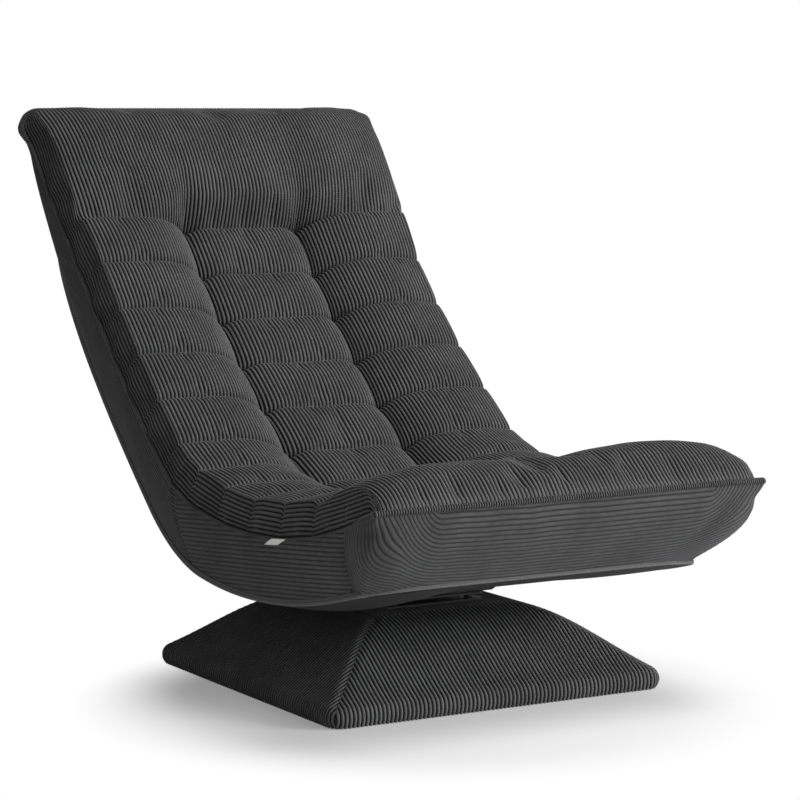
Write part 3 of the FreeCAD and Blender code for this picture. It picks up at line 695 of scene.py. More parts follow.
@dataclass(frozen=True)
class SeamLine:
    """Side seam of the cushion: three tangent arcs for the seat, the crease and the back."""

    seat_radius: float = 0.800
    seat_low_y: float = -0.090
    seat_low_z: float = 0.222
    seat_front_y: float = -0.403
    seat_end_angle: float = math.radians(11.5)
    crease_radius: float = 0.230
    back_start_angle: float = math.radians(39.0)
    back_radius: float = 2.500
    back_length: float = 0.630
    lean: float = 0.005
    lean_run: float = 0.3

    def arcs(self) -> tuple[SeamArc, SeamArc, SeamArc]:
        """Return the three arcs, each starting where the one before has its end slope."""
        front_angle = math.asin((self.seat_front_y - self.seat_low_y) / self.seat_radius)
        middle_z = self.seat_low_z + self.seat_radius
        seat = SeamArc(self.seat_low_y, middle_z, self.seat_radius, 0.0, front_angle)
        crease = self.following(seat, self.seat_end_angle, self.crease_radius)
        back = self.following(crease, self.back_start_angle, self.back_radius)
        return seat, crease, back

    @staticmethod
    def following(arc: SeamArc, turn: float, radius: float) -> SeamArc:
        """Return the arc of a radius that carries on from another where its slope is turn."""
        shift = arc.radius - radius
        start_s = arc.start_s + arc.radius * (turn - arc.start_angle)
        return SeamArc(arc.y + shift * math.sin(turn), arc.z - shift * math.cos(turn), radius, start_s, turn)

    @property
    def crease_s(self) -> float:
        """Length at which the crease starts."""
        return self.arcs()[1].start_s

    @property
    def back_s(self) -> float:
        """Length at which the back starts."""
        return self.arcs()[2].start_s

    @property
    def length(self) -> float:
        """Length of the whole seam."""
        return self.back_s + self.back_length

    def place(self, s: Array, x: Array, h: Array) -> Array:
        """Place points: turn about the centre of the arc that holds s, at its radius less h.

        The back leans a little to the left.

        Args:
            s: Length along the seam.
            x: Distance across the chair.
            h: Height above the seam, of the same shape.

        Returns:
            Points, with a last axis of 3.
        """
        s, x, h = np.broadcast_arrays(s, x, h)
        seat, crease, back = self.arcs()
        on_seat = s < crease.start_s
        on_back = s >= back.start_s

        def of_arc(name: str) -> Array:
            """Return a property of the arc that holds each point."""
            ends = np.where(on_back, getattr(back, name), getattr(crease, name))
            return np.where(on_seat, getattr(seat, name), ends)

        angle = of_arc("start_angle") + (s - of_arc("start_s")) / of_arc("radius")
        reach = of_arc("radius") - h
        leaning = x - self.lean * smooth_step(s, crease.start_s, crease.start_s + self.lean_run)
        y = of_arc("y") + reach * np.sin(angle)
        return np.stack([leaning, y, of_arc("z") - reach * np.cos(angle)], axis=-1)


class BandZone(Enum):
    """Stretches of the band with their own lay of the wales."""

    FRONT = "front"
    SEAT_SIDE = "seat_side"
    BACK = "back"


@dataclass
class EdgeLine:
    """Closed line along an edge of the cushion, with the direction of h and a trim's relative size on it."""

    points: Array
    up: Array
    size: Array


@dataclass
class LoungeCushion:
    """The long padded cushion: tufted top, boxing band round its sides and closed underside.

    Its bolsters and centre column lie between two sewn channels, in rows of pillows between cross seams,
    with a plain rolled panel at the front and another at the head.
    """

    seam: SeamLine = field(default_factory=SeamLine)
    half_width: float = 0.280
    back_waist: float = 0.010

    # Wales and grid
    wale_pitch: float = 5.83 * MM
    wale_samples: Sizes = (0.0, 0.16, 0.38, 0.62, 0.84)
    wale_depth: float = 2.6 * MM
    wale_edge: float = 0.004
    wale_seam: float = 0.002
    wale_seam_share: float = 0.6
    wale_seam_reach: float = 0.02
    section_rows: Sizes = (0.5, 3.5, 6.5)
    section_places: int = 3000
    fine_steps: tuple[int, int] = (24, 18)
    coarse_steps: tuple[int, int] = (16, 10)
    coarse_columns: int = 24
    head_steps: int = 6
    column_step: int = 5

    # Flanks and bolsters; the sizes at the knots flank_s are for the right side
    flank_s: Sizes = (0.30, 0.54, 0.90, 1.02)
    side_rise: Sizes = (0.046, 0.030, 0.034, 0.045)
    side_inset: Sizes = (0.016, 0.022, 0.022, 0.016)
    bolster_crown: Sizes = (0.050, 0.040, 0.043, 0.050)
    left_rise: float = 0.013
    left_inset: float = -0.006
    left_crown: float = 0.008
    gutter: float = 0.003
    flank_gain: float = 1.1
    flank_blend: float = 0.003
    bolster_crest_x: float = 0.186
    bolster_power: float = 1.4

    # Channels, centre column and cross seams
    channel_x: float = 0.091
    channel_height: float = 0.002
    centre_crown: float = 0.018
    centre_round: float = 0.042
    centre_power: float = 1.2
    dip_side: float = 0.004
    dip_bolster: float = 0.0075
    dip_channel: float = 0.8
    dip_centre: float = 0.0075
    tuft_pull: float = 0.007
    tuft_pull_width: float = 0.016
    tuft_pitch: float = 0.084
    tuft_rows: int = 10
    pillow_power: float = 2.0
    pillow_gain: float = 1.2
    pillow_reach: float = 0.05
    seam_crease: float = 0.0022
    seam_crease_width: float = 0.0022
    seam_crease_fade: float = 0.02

    # Plain panels and corners
    front_panel: float = 0.159
    front_crown: float = 0.066
    head_crown: float = 0.064
    panel_settle: float = 0.22
    panel_blend: float = 0.006
    panel_side_round: float = 0.140
    panel_shoulder: float = 0.45
    panel_gather: float = 0.032
    gather_gain: float = 0.45
    gather_width: float = 0.018
    gather_power: float = 0.8
    front_corner: float = 0.028
    head_corner: float = 0.034
    ear_reach: float = -0.003
    ear_spread: float = 0.024
    head_ear_round: float = 0.032
    head_ear_draw: float = 0.3
    head_lobe: float = 0.005
    head_lobe_place: float = 0.036
    head_lobe_width: float = 0.017

    # Uneven filling: cell, height and seed of each noise; the fuller right front corner
    lumps: tuple[tuple[float, float, int], ...] = ((0.085, 1.5 * MM, 11), (0.034, 0.6 * MM, 12))
    lump_edge: float = 0.04
    right_lift: float = 0.010
    lift_at_edge: float = 0.15
    lift_edge: float = 0.05
    lift_x: Pair = (0.02, 0.20)
    lift_s: Pair = (0.03, 0.25)

    # Cloth run
    swell_cap: float = 0.005
    swell_frames: int = 18
    swell_pressure: float = 2.5
    swell_shrink: float = -0.012
    cloth_quality: int = 6
    cloth_mass: float = 0.3
    cloth_stiffness: float = 20.0
    cloth_shear: float = 8.0
    cloth_bending: float = 8.0

    # Underside
    welt_front_s: float = 0.100
    welt_head_gap: float = 0.128
    depths: Sizes = (0.073, 0.095, 0.096, 0.062)
    depth_back: float = 0.315
    depth_blur: float = 0.09
    depth_steps: int = 19
    fan: float = 0.100
    tucks: Pair = (0.033, 0.020)
    under_round: float = 0.05
    under_round_power: int = 8
    under_taper: float = 0.07
    under_taper_power: int = 14

    # Band and piping
    band_rows: int = 84
    band_wale_depth: float = 0.5 * MM
    band_fade: float = 0.04
    front_bulge: float = 0.016
    head_bulge: float = 0.007
    side_bulge: float = 0.006
    corner_bulge: float = 0.012
    corner_spread: float = 0.032
    bulge_power: float = 0.8
    bulge_end: float = 0.05
    bulge_side: float = 0.9
    bulge_corner: float = 0.75
    bulge_down: float = 0.75
    free_top: float = 0.16
    free_foot: float = 0.10
    front_pitch: float = 7.1 * MM
    wrap_start: float = 0.085
    wrap_end: float = 0.070
    wrap_crowding: float = 1.25
    side_seam_s: float = 0.535
    side_wale_slope: float = -0.10
    band_seam_width: float = 2.2 * MM
    band_seam_depth: float = 3.0 * MM
    band_seam_rows: Sizes = (-1.5, -0.7, 0.0, 0.7, 1.5)
    piping_sizes: tuple[float, float, float] = (0.35, 0.65, 1.00)
    piping_front: Pair = (0.015, 0.06)
    piping_head: Pair = (0.07, 0.03)

    # Results of build
    piping: EdgeLine | None = None
    welt: EdgeLine | None = None
    under_grid: tuple[Array, Array, Array] | None = None

    @property
    def head_seam(self) -> float:
        """Length at which the head panel starts."""
        return self.front_panel + self.tuft_rows * self.tuft_pitch

    def half_at(self, s: Array) -> Array:
        """Return half the width at length s: drawn in along the back by half a sine wave."""
        share = np.clip((s - self.seam.crease_s) / (self.seam.length - self.seam.crease_s), 0.0, 1.0)
        return self.half_width - self.back_waist * np.sin(math.pi * share)

    def rows(self, panel_steps: int, row_steps: int) -> Array:
        """Return the lengths of the grid rows, crowded at each cross seam."""
        parts = [crowded(0.0, self.front_panel, panel_steps)]
        for row in range(self.tuft_rows):
            start = self.front_panel + row * self.tuft_pitch
            parts.append(crowded(start, start + self.tuft_pitch, row_steps)[1:])
        parts.append(crowded(self.head_seam, self.seam.length, panel_steps + self.head_steps)[1:])
        for seam_s in (self.wrap_end, self.side_seam_s):
            parts.append(seam_s + self.band_seam_width * np.array(self.band_seam_rows))
        return np.unique(np.round(np.concatenate(parts), 5))

    def section_arcs(self) -> tuple[Array, Array, Array]:
        """Return the cloth's length across half of several rows.

        Returns:
            Lengths of the rows along the seam, places across a row from 0 to 1 and, for each row, the length
            of cloth from its middle up to each place.
        """
        tufted = self.front_panel + self.tuft_pitch * np.array([*self.section_rows, self.tuft_rows - 0.5])
        rows = np.concatenate([[0.5 * self.front_panel], tufted, [0.5 * (self.head_seam + self.seam.length)]])
        places = np.linspace(0.0, 1.0, self.section_places)
        s = np.repeat(rows[:, None], len(places), axis=1)
        x = -places * self.half_at(s)
        steps = np.hypot(np.diff(x, axis=1), np.diff(self.top_height(s, x), axis=1))
        return rows, places, np.pad(np.cumsum(steps, axis=1), ((0, 0), (1, 0)))

    @property
    def half_wales(self) -> int:
        """Number of wales on half of the first tufted row."""
        return round(self.section_arcs()[2][1, -1] / self.wale_pitch)

    def wale_counts(self) -> Array:
        """Return the wale count of each grid column, 0 in the middle, several columns on each wale."""
        wales = self.half_wales
        counts = np.append(np.add.outer(np.arange(wales), np.array(self.wale_samples)).ravel(), wales)
        return np.concatenate([-counts[:0:-1], counts])

    @property
    def channel_count(self) -> float:
        """Wale count of the channels."""
        rows, places, arcs = self.section_arcs()
        return float(np.interp(self.channel_x / self.half_at(rows[1]), places, arcs[1])) / self.wale_pitch

    def coarse_counts(self, steps: int) -> Array:
        """Return few wale counts with one on each channel."""
        side = np.linspace(-self.half_wales, -self.channel_count, steps)
        return np.concatenate([side, np.linspace(side[-1], -side[-1], steps + 1)[1:-1], -side[::-1]])

    def column_grid(self, s: Array, counts: Array) -> Array:
        """Place wales across the rows, evenly along the cloth on either side of the channel.

        Args:
            s: Lengths of the rows.
            counts: Wale counts of the columns.

        Returns:
            Place of each column on each row, from -1 to 1, eased from one measured row to the next.
        """
        rows, places, arcs = self.section_arcs()
        knots = [0.0, self.channel_count, self.half_wales]
        columns = []
        for row, arc in zip(rows, arcs):
            at_channel = np.interp(self.channel_x / self.half_at(row), places, arc)
            cloth = np.interp(np.abs(counts), knots, [0.0, at_channel, arc[-1]])
            columns.append(np.sign(counts) * np.interp(cloth, arc, places))
        place = np.interp(s, rows, np.arange(len(rows)))
        before = np.minimum(place.astype(int), len(rows) - 2)
        share = smooth_step((place - before)[:, None], 0.0, 1.0)
        return np.array(columns)[before] * (1.0 - share) + np.array(columns)[before + 1] * share

    def on_front(self, s: Array) -> Array:
        """Return whether length s is on the front half."""
        return s < 0.5 * self.seam.length

    def from_seam(self, s: Array) -> Array:
        """Return the distance to the nearest cross seam, as a signed share of the tufts' pitch."""
        return np.mod((s - self.front_panel) / self.tuft_pitch + 0.5, 1.0) - 0.5

    def pillow(self, s: Array, from_channel: Array) -> Array:
        """Return the fullness of the rows: a super-ellipse of the length between two cross seams.

        Args:
            s: Length along the seam.
            from_channel: Distance from the nearer channel; pillows are rounder close to it.

        Returns:
            0 on the cross seams and 1 in the middle of each row.
        """
        part = np.mod((s - self.front_panel) / self.tuft_pitch + TINY, 1.0)
        power = self.pillow_power + self.pillow_gain * smooth_step(from_channel, 0.0, self.pillow_reach)
        return np.sqrt(np.maximum(1.0 - np.abs(2.0 * part - 1.0) ** power, 0.0))

    def along(self, s: Array, x: Array, sizes: Sizes, on_left: float) -> Array:
        """Return a size that changes along the seam from knot to knot.

        Args:
            s: Length along the seam.
            x: Distance across the chair.
            sizes: Size at each knot.
            on_left: How much more it is on the left side of the back, which is fuller.

        Returns:
            Size at each point.
        """
        start, back_start, back_end, end = self.flank_s
        back = smooth_step(s, start, back_start) * (1.0 - smooth_step(s, back_end, end))
        return np.interp(s, self.flank_s, sizes) + on_left * back * smooth_step(-x, 0.0, self.channel_x)

    def side_plane(self, s: Array, x: Array) -> Array:
        """Return the height of the straight flank, which rises from the gutter beside the seam."""
        foot = np.maximum(self.half_at(s) - np.abs(x) - self.gutter, 0.0)
        inset = self.along(s, x, self.side_inset, self.left_inset) - self.gutter
        return foot * (self.flank_gain * self.along(s, x, self.side_rise, self.left_rise) / inset)

    def tufted_height(self, s: Array, x: Array) -> Array:
        """Return the height of the tufted rows.

        A bolster rises from its channel as a sine and falls over a shoulder to a straight side plane; the
        centre column is a low plateau with rounded sides. Cross seams dip by an amount that depends on x,
        and most of all where they meet a channel.

        Args:
            s: Length along the seam.
            x: Distance across the chair.

        Returns:
            Heights above the seam.
        """
        across = np.abs(x)
        from_side = self.half_at(s) - across
        crest_from_side = self.half_at(s) - self.bolster_crest_x
        from_channel = np.abs(across - self.channel_x)
        inner_share = np.clip((across - self.channel_x) / (self.bolster_crest_x - self.channel_x), 0.0, 1.0)
        crown = self.along(s, x, self.bolster_crown, self.left_crown)
        rise = self.along(s, x, self.side_rise, self.left_rise)
        inset = self.along(s, x, self.side_inset, self.left_inset)
        inner = quarter_round(inner_share) ** self.bolster_power
        inner = self.channel_height + (crown - self.channel_height) * inner
        fall = np.clip((crest_from_side - from_side) / (crest_from_side - inset), 0.0, 2.0)
        top = crown - (crown - rise) * fall ** 2
        outer = smooth_min(self.side_plane(s, x), top, self.flank_blend)
        bolster = np.where(across < self.bolster_crest_x, inner, outer)
        centre_share = np.clip((self.channel_x - across) / self.centre_round, 0.0, 1.0)
        centre = (self.centre_crown - self.channel_height) * quarter_round(centre_share) ** self.centre_power
        centre = self.channel_height + centre
        full = np.where(across < self.channel_x, centre, bolster)
        shoulder_x = self.half_width - self.side_inset[1]
        knots_x = (0.0, self.channel_x, self.bolster_crest_x, shoulder_x, self.half_width)
        at_channel = self.dip_centre * self.dip_channel
        knots_dip = (self.dip_centre, at_channel, self.dip_bolster, self.dip_side, 0.0)
        pull = self.tuft_pull * bell(from_channel, self.tuft_pull_width)
        dip = np.interp(across, knots_x, knots_dip) + pull
        crease = self.seam_crease * bell(self.from_seam(s) * self.tuft_pitch, self.seam_crease_width)
        crease = crease * smooth_step(from_side, 0.0, self.seam_crease_fade)
        return full - crease - dip * (1.0 - self.pillow(s, from_channel))

    def panel_height(self, s: Array, x: Array) -> Array:
        """Return the height of the plain front and head panels.

        A panel rolls up from its outer edge as a quarter ellipse over half its length and settles a little
        towards its seam; across the chair it rolls up less, cut off by the same side plane as the tufted
        rows. Its corners are flat outside a quarter circle.

        Args:
            s: Length along the seam.
            x: Distance across the chair.

        Returns:
            Heights above the seam, of use on the two panels only.
        """
        front = self.on_front(s)
        from_edge = np.where(front, s, self.seam.length - s)
        panel = np.where(front, self.front_panel, self.seam.length - self.head_seam)
        crown = np.where(front, self.front_crown, self.head_crown)
        share = np.clip(from_edge / panel, 0.0, 1.0)
        roll = quarter_round(2.0 * share) - self.panel_settle * np.clip(2.0 * share - 1.0, 0.0, 1.0) ** 2
        from_side = np.maximum(self.half_at(s) - np.abs(x), 0.0)
        corner = np.where(front, self.front_corner, self.head_corner)
        inside = corner - np.hypot(np.maximum(corner - from_edge, 0.0), np.maximum(corner - from_side, 0.0))
        nearest = np.minimum(np.minimum(from_edge, from_side), corner)
        rounded = quarter_round(inside / np.maximum(nearest, TINY))
        crowned = crown * roll * (self.panel_shoulder + (1.0 - self.panel_shoulder)
                                  * quarter_round(from_side / self.panel_side_round))
        return rounded * np.maximum(smooth_min(self.side_plane(s, x), crowned, self.panel_blend), 0.0)

    def top_height(self, s: Array, x: Array) -> Array:
        """Return the whole top's height: tufted rows that gather into the plain panels past their seams."""
        past_seam = np.maximum(self.front_panel - s, s - self.head_seam)
        from_channel = np.abs(np.abs(x) - self.channel_x)
        gather = self.panel_gather * (1.0 + self.gather_gain * bell(from_channel, self.gather_width))
        share = np.sin(0.5 * math.pi * np.clip(past_seam / gather, 0.0, 1.0)) ** self.gather_power
        seam_s = np.where(self.on_front(s), self.front_panel, self.head_seam)
        tufted = self.tufted_height(np.where(past_seam > 0.0, seam_s, s), x)
        return tufted * (1.0 - share) + self.panel_height(s, x) * share

    def uneven(self, s: Array, x: Array) -> Array:
        """Return how unevenly the filling lies: two sizes of smooth noise, none at the edge."""
        edge = smooth_step(self.half_at(s) - np.abs(x), 0.0, self.lump_edge)
        return edge * sum(height * lattice_noise(x / cell, s / cell, seed)
                          for cell, height, seed in self.lumps)

    def top_points(self, s: Array, u: Array) -> Array:
        """Place the top without its wales.

        Args:
            s: Lengths of the rows.
            u: Columns of each row, from -1 to 1.

        Returns:
            Grid of points, rows by columns by 3, with its corners shifted.
        """
        s = np.broadcast_to(s[:, None], u.shape)
        x = u * self.half_at(s)
        h = self.top_height(s, x) + self.uneven(s, x) + self.lift(s, x)
        shift_s, shift_x = self.corner_shift(s, x)
        return self.seam.place(s + shift_s, x + shift_x, h)

    def lift(self, s: Array, x: Array) -> Array:
        """Return how much fuller the right front corner is, a little of it at its very edge."""
        inside = smooth_step(np.minimum(s, self.half_at(s) - x), 0.0, self.lift_edge)
        filled = self.lift_at_edge + (1.0 - self.lift_at_edge) * inside
        return self.right_lift * filled * smooth_step(x, *self.lift_x) * (1.0 - smooth_step(s, *self.lift_s))

    def corner_shift(self, s: Array, x: Array) -> tuple[Array, Array]:
        """Draw the front corners in as a bell; round the head's as a parabola, beside a small lobe.

        Args:
            s: Length along the seam.
            x: Distance across the chair.

        Returns:
            Shift along the seam and shift across the chair.
        """
        from_end = np.minimum(s, self.seam.length - s)
        from_side = self.half_at(s) - np.abs(x)
        near = np.exp(-(from_end / self.ear_spread) ** 2 - (from_side / self.ear_spread) ** 2)
        front = self.on_front(s)
        near_end = np.clip(1.0 - from_end / self.head_ear_round, 0.0, 1.0)
        near_side = np.clip(1.0 - from_side / self.head_ear_round, 0.0, 1.0)
        drawn = -self.head_ear_draw * self.head_ear_round
        shift_s = np.where(front, -self.ear_reach * near, drawn * near_side ** 2 * near_end)
        lobe = self.head_lobe * bell(from_end - self.head_lobe_place, self.head_lobe_width) * near_side
        shift_x = np.where(front, self.ear_reach * near, drawn * near_end ** 2 * near_side + lobe)
        return shift_s, np.sign(x) * shift_x

    def swollen(self) -> tuple[Array, Array, Array]:
        """Swell the top as cloth under pressure, held along its edge, channels and cross seams.

        Returns:
            Rows and wale counts of a coarse grid, and how far each of its points moved.
        """
        s = self.rows(*self.coarse_steps)
        counts = self.coarse_counts(self.coarse_columns)
        rest = self.top_points(s, self.column_grid(s, counts))
        rows, columns = rest.shape[:2]
        tufted = (s > self.front_panel - 1e-6) & (s < self.head_seam + 1e-6)
        on_seam = tufted & (np.abs(self.from_seam(s)) < 1e-3)
        on_channel = np.abs(np.abs(counts) - self.channel_count) < 1e-6
        held = on_seam[:, None] | (on_channel[None, :] & tufted[:, None])
        held[[0, -1], :] = True
        held[:, [0, -1]] = True
        faces = sheet_faces(rows, columns)
        cloth = new_piece("top_cloth", rest.reshape(-1, 3), [Patch(faces, np.zeros((rows * columns, 2)))], [])
        sewn = cloth.vertex_groups.new(name="sewn")
        sewn.add(np.flatnonzero(held.ravel()).tolist(), 1.0, "REPLACE")
        moved = self.run_cloth(cloth).reshape(rest.shape) - rest
        bpy.data.meshes.remove(cloth.data)
        reach = np.linalg.norm(moved, axis=2, keepdims=True)
        return s, counts, moved * np.minimum(1.0, self.swell_cap / np.maximum(reach, TINY))

    def run_cloth(self, cloth: Piece) -> Array:
        """Run the cloth on a mesh and return its vertices at the last frame.

        Args:
            cloth: Mesh object with a vertex group named sewn for what is held.

        Returns:
            Vertex places, n by 3.
        """
        modifier = cloth.modifiers.new("swell", "CLOTH")
        choices = {"quality": self.cloth_quality, "mass": self.cloth_mass,
                   "tension_stiffness": self.cloth_stiffness, "compression_stiffness": self.cloth_stiffness,
                   "shear_stiffness": self.cloth_shear, "bending_stiffness": self.cloth_bending,
                   "shrink_min": self.swell_shrink, "use_pressure": True,
                   "uniform_pressure_force": self.swell_pressure, "vertex_group_mass": "sewn"}
        for name, value in choices.items():
            setattr(modifier.settings, name, value)
        modifier.settings.effector_weights.gravity = 0.0
        modifier.collision_settings.use_collision = False
        scene = bpy.context.scene
        modifier.point_cache.frame_start = 1
        modifier.point_cache.frame_end = self.swell_frames
        for step in range(1, self.swell_frames + 1):
            scene.frame_set(step)
        final = cloth.evaluated_get(bpy.context.evaluated_depsgraph_get()).data
        places = np.empty(len(final.vertices) * 3, dtype=np.float32)
        final.vertices.foreach_get("co", places)
        scene.frame_set(1)
        return places.reshape(-1, 3).astype(float)

    def depth_at(self, s: Array) -> Array:
        """Return the depth of the underside below the seam: joined from knot to knot, averaged along s."""
        knots = (self.welt_front_s, self.seam.crease_s, self.seam.back_s + self.depth_back,
                 self.seam.length - self.welt_head_gap)
        shifts = np.linspace(-self.depth_blur, self.depth_blur, self.depth_steps)
        return np.mean([np.interp(s + shift, knots, self.depths) for shift in shifts], axis=0)

    def fanned(self, s: Array) -> Array:
        """Return the run of the welt below length s, short at the front corners, where the band fans out."""
        return s - self.fan * np.tanh(s / self.fan)

    def under_places(self, s: Array, u: Array) -> tuple[Array, Array, Array]:
        """Lay the underside out below the top: narrower, shorter and with rounded corners.

        Args:
            s: Lengths of the rows on the top.
            u: Columns from -1 to 1.

        Returns:
            Length, distance across and height of each point of the underside.
        """
        s = np.broadcast_to(s[:, None], u.shape)
        end = np.abs(2.0 * s / self.seam.length - 1.0)
        share = self.fanned(s) / self.fanned(np.array(self.seam.length))
        welt_end = self.seam.length - self.welt_head_gap
        under_s = self.welt_front_s + (welt_end - self.welt_front_s) * share
        middle = 0.5 * (welt_end + self.welt_front_s)
        under_s = middle + (under_s - middle) * (1.0 - self.under_round * np.abs(u) ** self.under_round_power)
        tuck = np.interp(under_s, (self.welt_front_s, self.seam.crease_s), self.tucks)
        taper = 1.0 - self.under_taper * end ** self.under_taper_power
        under_x = u * (self.half_at(under_s) - tuck) * taper
        return under_s, under_x, -self.depth_at(under_s)

    def build(self, finishes: Finishes) -> Piece:
        """Build the closed cushion: fine top, band of wales round it and plain underside.

        Args:
            finishes: The chair's materials.

        Returns:
            The cushion.
        """
        s = self.rows(*self.fine_steps)
        counts = self.wale_counts()
        u = self.column_grid(s, counts)
        coarse_s, coarse_counts, moved = self.swollen()
        top = self.top_points(s, u)
        rows_in_coarse = np.interp(s, coarse_s, np.arange(len(coarse_s)))
        columns_in_coarse = np.interp(counts, coarse_counts, np.arange(len(coarse_counts)))
        top = top + resample(moved, rows_in_coarse, columns_in_coarse)
        top = self.with_wales(top, s, u, counts)
        under_s, under_x, under_h = self.under_places(s, u[:, ::self.column_step])
        under = self.seam.place(under_s, under_x, under_h)
        welt_line = self.perimeter(under, 1)
        self.welt = EdgeLine(welt_line, self.up_at(self.perimeter(under_s, 1)), np.ones(len(welt_line)))
        self.piping = self.piping_edge(s, u)
        self.under_grid = (under_s, under_x, under_h)
        return self.close(top, under, s, u, counts, finishes)

    def up_at(self, s: Array) -> Array:
        """Return the unit direction of h at length s."""
        zero = np.zeros_like(s)
        return self.seam.place(s, zero, zero + 1.0) - self.seam.place(s, zero, zero)

    def piping_edge(self, s: Array, u: Array) -> EdgeLine:
        """Return the line of the piping, thick along the front and the head and thin along the sides."""
        s = self.perimeter(np.broadcast_to(s[:, None], u.shape), 1)
        x = self.perimeter(u, 1) * self.half_at(s)
        shift_s, shift_x = self.corner_shift(s, x)
        line = self.seam.place(s + shift_s, x + shift_x, self.lift(s, x))
        front = 1.0 - smooth_step(s, *self.piping_front)
        head = smooth_step(s, *(self.seam.length - gap for gap in self.piping_head))
        on_sides, more_front, more_head = self.piping_sizes
        return EdgeLine(line, self.up_at(s), on_sides + more_front * front + more_head * head)

    @staticmethod
    def perimeter(grid: Array, step: int) -> Array:
        """Return the edge of a grid as a ring: front to the right, right side, head back, left side."""
        front = grid[0, ::step]
        right = grid[1:, -1]
        head = grid[-1, ::-1][::step][1:]
        left = grid[-2:0:-1, 0]
        return np.concatenate([front, right, head, left])

    def with_wales(self, top: Array, s: Array, u: Array, counts: Array) -> Array:
        """Press grooves between the wales into the top, shallower at cross seams and none at its edge.

        Args:
            top: Grid of the top.
            s: Lengths of the rows.
            u: Columns from -1 to 1.
            counts: Wale count of each column.

        Returns:
            The grid with its grooves.
        """
        grid_s = np.broadcast_to(s[:, None], u.shape)
        x = u * self.half_at(grid_s)
        from_end = np.minimum(grid_s, self.seam.length - grid_s)
        edge = np.minimum(from_end, self.half_at(grid_s) - np.abs(x))
        reach = self.wale_seam_reach
        tufted = (grid_s > self.front_panel - reach) & (grid_s < self.head_seam + reach)
        flattened = np.where(tufted, bell(self.from_seam(grid_s) * self.tuft_pitch, self.wale_seam), 0.0)
        depth = self.wale_depth * smooth_step(edge, 0.0, self.wale_edge)
        depth = depth * (1.0 - self.wale_seam_share * flattened)
        return top - grid_normals(top) * (depth * groove(counts)[None, :])[..., None]

    def band_points(self, top_ring: Array, welt_ring: Array, bulge: Array,
                    outward: Array) -> Array:
        """Stretch the band from the piping to the welt, with rounded corners and a bulge as a sine arch.

        Args:
            top_ring: Points along the piping.
            welt_ring: Points along the welt.
            bulge: Bulge at each point of the ring.
            outward: Unit direction of the bulge.

        Returns:
            Rows of rings, from the piping down.
        """
        share = np.linspace(0.0, 1.0, self.band_rows + 1)[:, None, None]
        arch = np.sin(math.pi * share ** self.bulge_power)
        free = smooth_step(share, 0.0, self.free_top) * smooth_step(1.0 - share, 0.0, self.free_foot)
        upper = top_ring + (rounded_ring(top_ring, self.corner_spread) - top_ring) * free
        lower = welt_ring + (rounded_ring(welt_ring, 0.5 * self.corner_spread) - welt_ring) * free
        return upper + (lower - upper) * share + outward * (bulge[:, None] * arch)

    def close(self, top: Array, under: Array, s: Array, u: Array, counts: Array,
              finishes: Finishes) -> Piece:
        """Join the top, the band and the underside into one closed mesh.

        Args:
            top: Grid of the top.
            under: Grid of the underside, with every few columns of the top.
            s: Lengths of the rows.
            u: Columns of the top.
            counts: Wale count of each column.
            finishes: The chair's materials.

        Returns:
            The cushion.
        """
        step = self.column_step
        numbers = grid_numbers(*top.shape[:2])
        top_ring = self.perimeter(numbers, step)
        welt_ring = self.perimeter(grid_numbers(*under.shape[:2]), 1)
        points_top = top.reshape(-1, 3)
        points_under = under.reshape(-1, 3)
        ring_s = self.perimeter(np.broadcast_to(s[:, None], top.shape[:2]), step)
        ring_u = self.perimeter(u, step)
        band, lengths = self.band_rings(points_top[top_ring], points_under[welt_ring], ring_s, ring_u)
        count = len(top_ring)
        first_band = len(points_top)
        first_under = first_band + (self.band_rows - 1) * count
        inner = grid_numbers(self.band_rows - 1, count, first_band)
        ring_numbers = np.vstack([top_ring, inner, first_under + welt_ring])
        points = np.vstack([points_top, band[1:-1].reshape(-1, 3), points_under])
        top_wales = np.zeros((len(points), 2))
        top_wales[:len(points_top), 0] = np.tile(counts, len(s))
        top_wales[:len(points_top), 1] = np.repeat(s / self.wale_pitch, len(counts))
        wales = self.band_wales(band, lengths, ring_numbers, len(points))
        patches = [Patch(sheet_faces(*top.shape[:2]), top_wales)]
        following = np.roll(ring_numbers, -1, axis=1)
        quads = np.stack([ring_numbers[:-1], ring_numbers[1:], following[1:], following[:-1]], axis=2)
        zones = self.zones(np.maximum(np.abs(lengths), np.abs(np.roll(lengths, -1))))
        ends = np.zeros(count, dtype=bool)
        front_count = under.shape[1] - 1
        ends[:front_count] = True
        head_start = front_count + len(s) - 1
        ends[head_start:head_start + front_count] = True
        for zone, chosen in zones.items():
            patches.append(Patch(quads[1:, chosen].reshape(-1, 4), wales[zone], slot=2))
            patches.append(Patch(quads[0, ~ends & chosen], wales[zone], slot=2))
        fine_ring = self.perimeter(numbers, 1)
        fine_starts = np.concatenate([np.arange(front_count) * step,
                                      (front_count * step + len(s) - 1) + np.arange(front_count) * step])
        between = fine_ring[fine_starts[:, None] + np.arange(step, -1, -1)[None, :]]
        lower = np.stack([ring_numbers[1, ends], following[1, ends]], axis=1)
        patches.append(Patch(np.hstack([lower, between]), wales[BandZone.FRONT], slot=2))
        under_faces = sheet_faces(*under.shape[:2], first=first_under)[:, ::-1]
        patches.append(Patch(under_faces, np.zeros((len(points), 2)), slot=1))
        materials = [finishes[Slot.CORDUROY], finishes[Slot.LINING], finishes.band]
        piece = new_piece("lounge_cushion", points, patches, materials)
        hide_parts("seat_cushion", "fold_cushion", "back_cushion")
        return piece

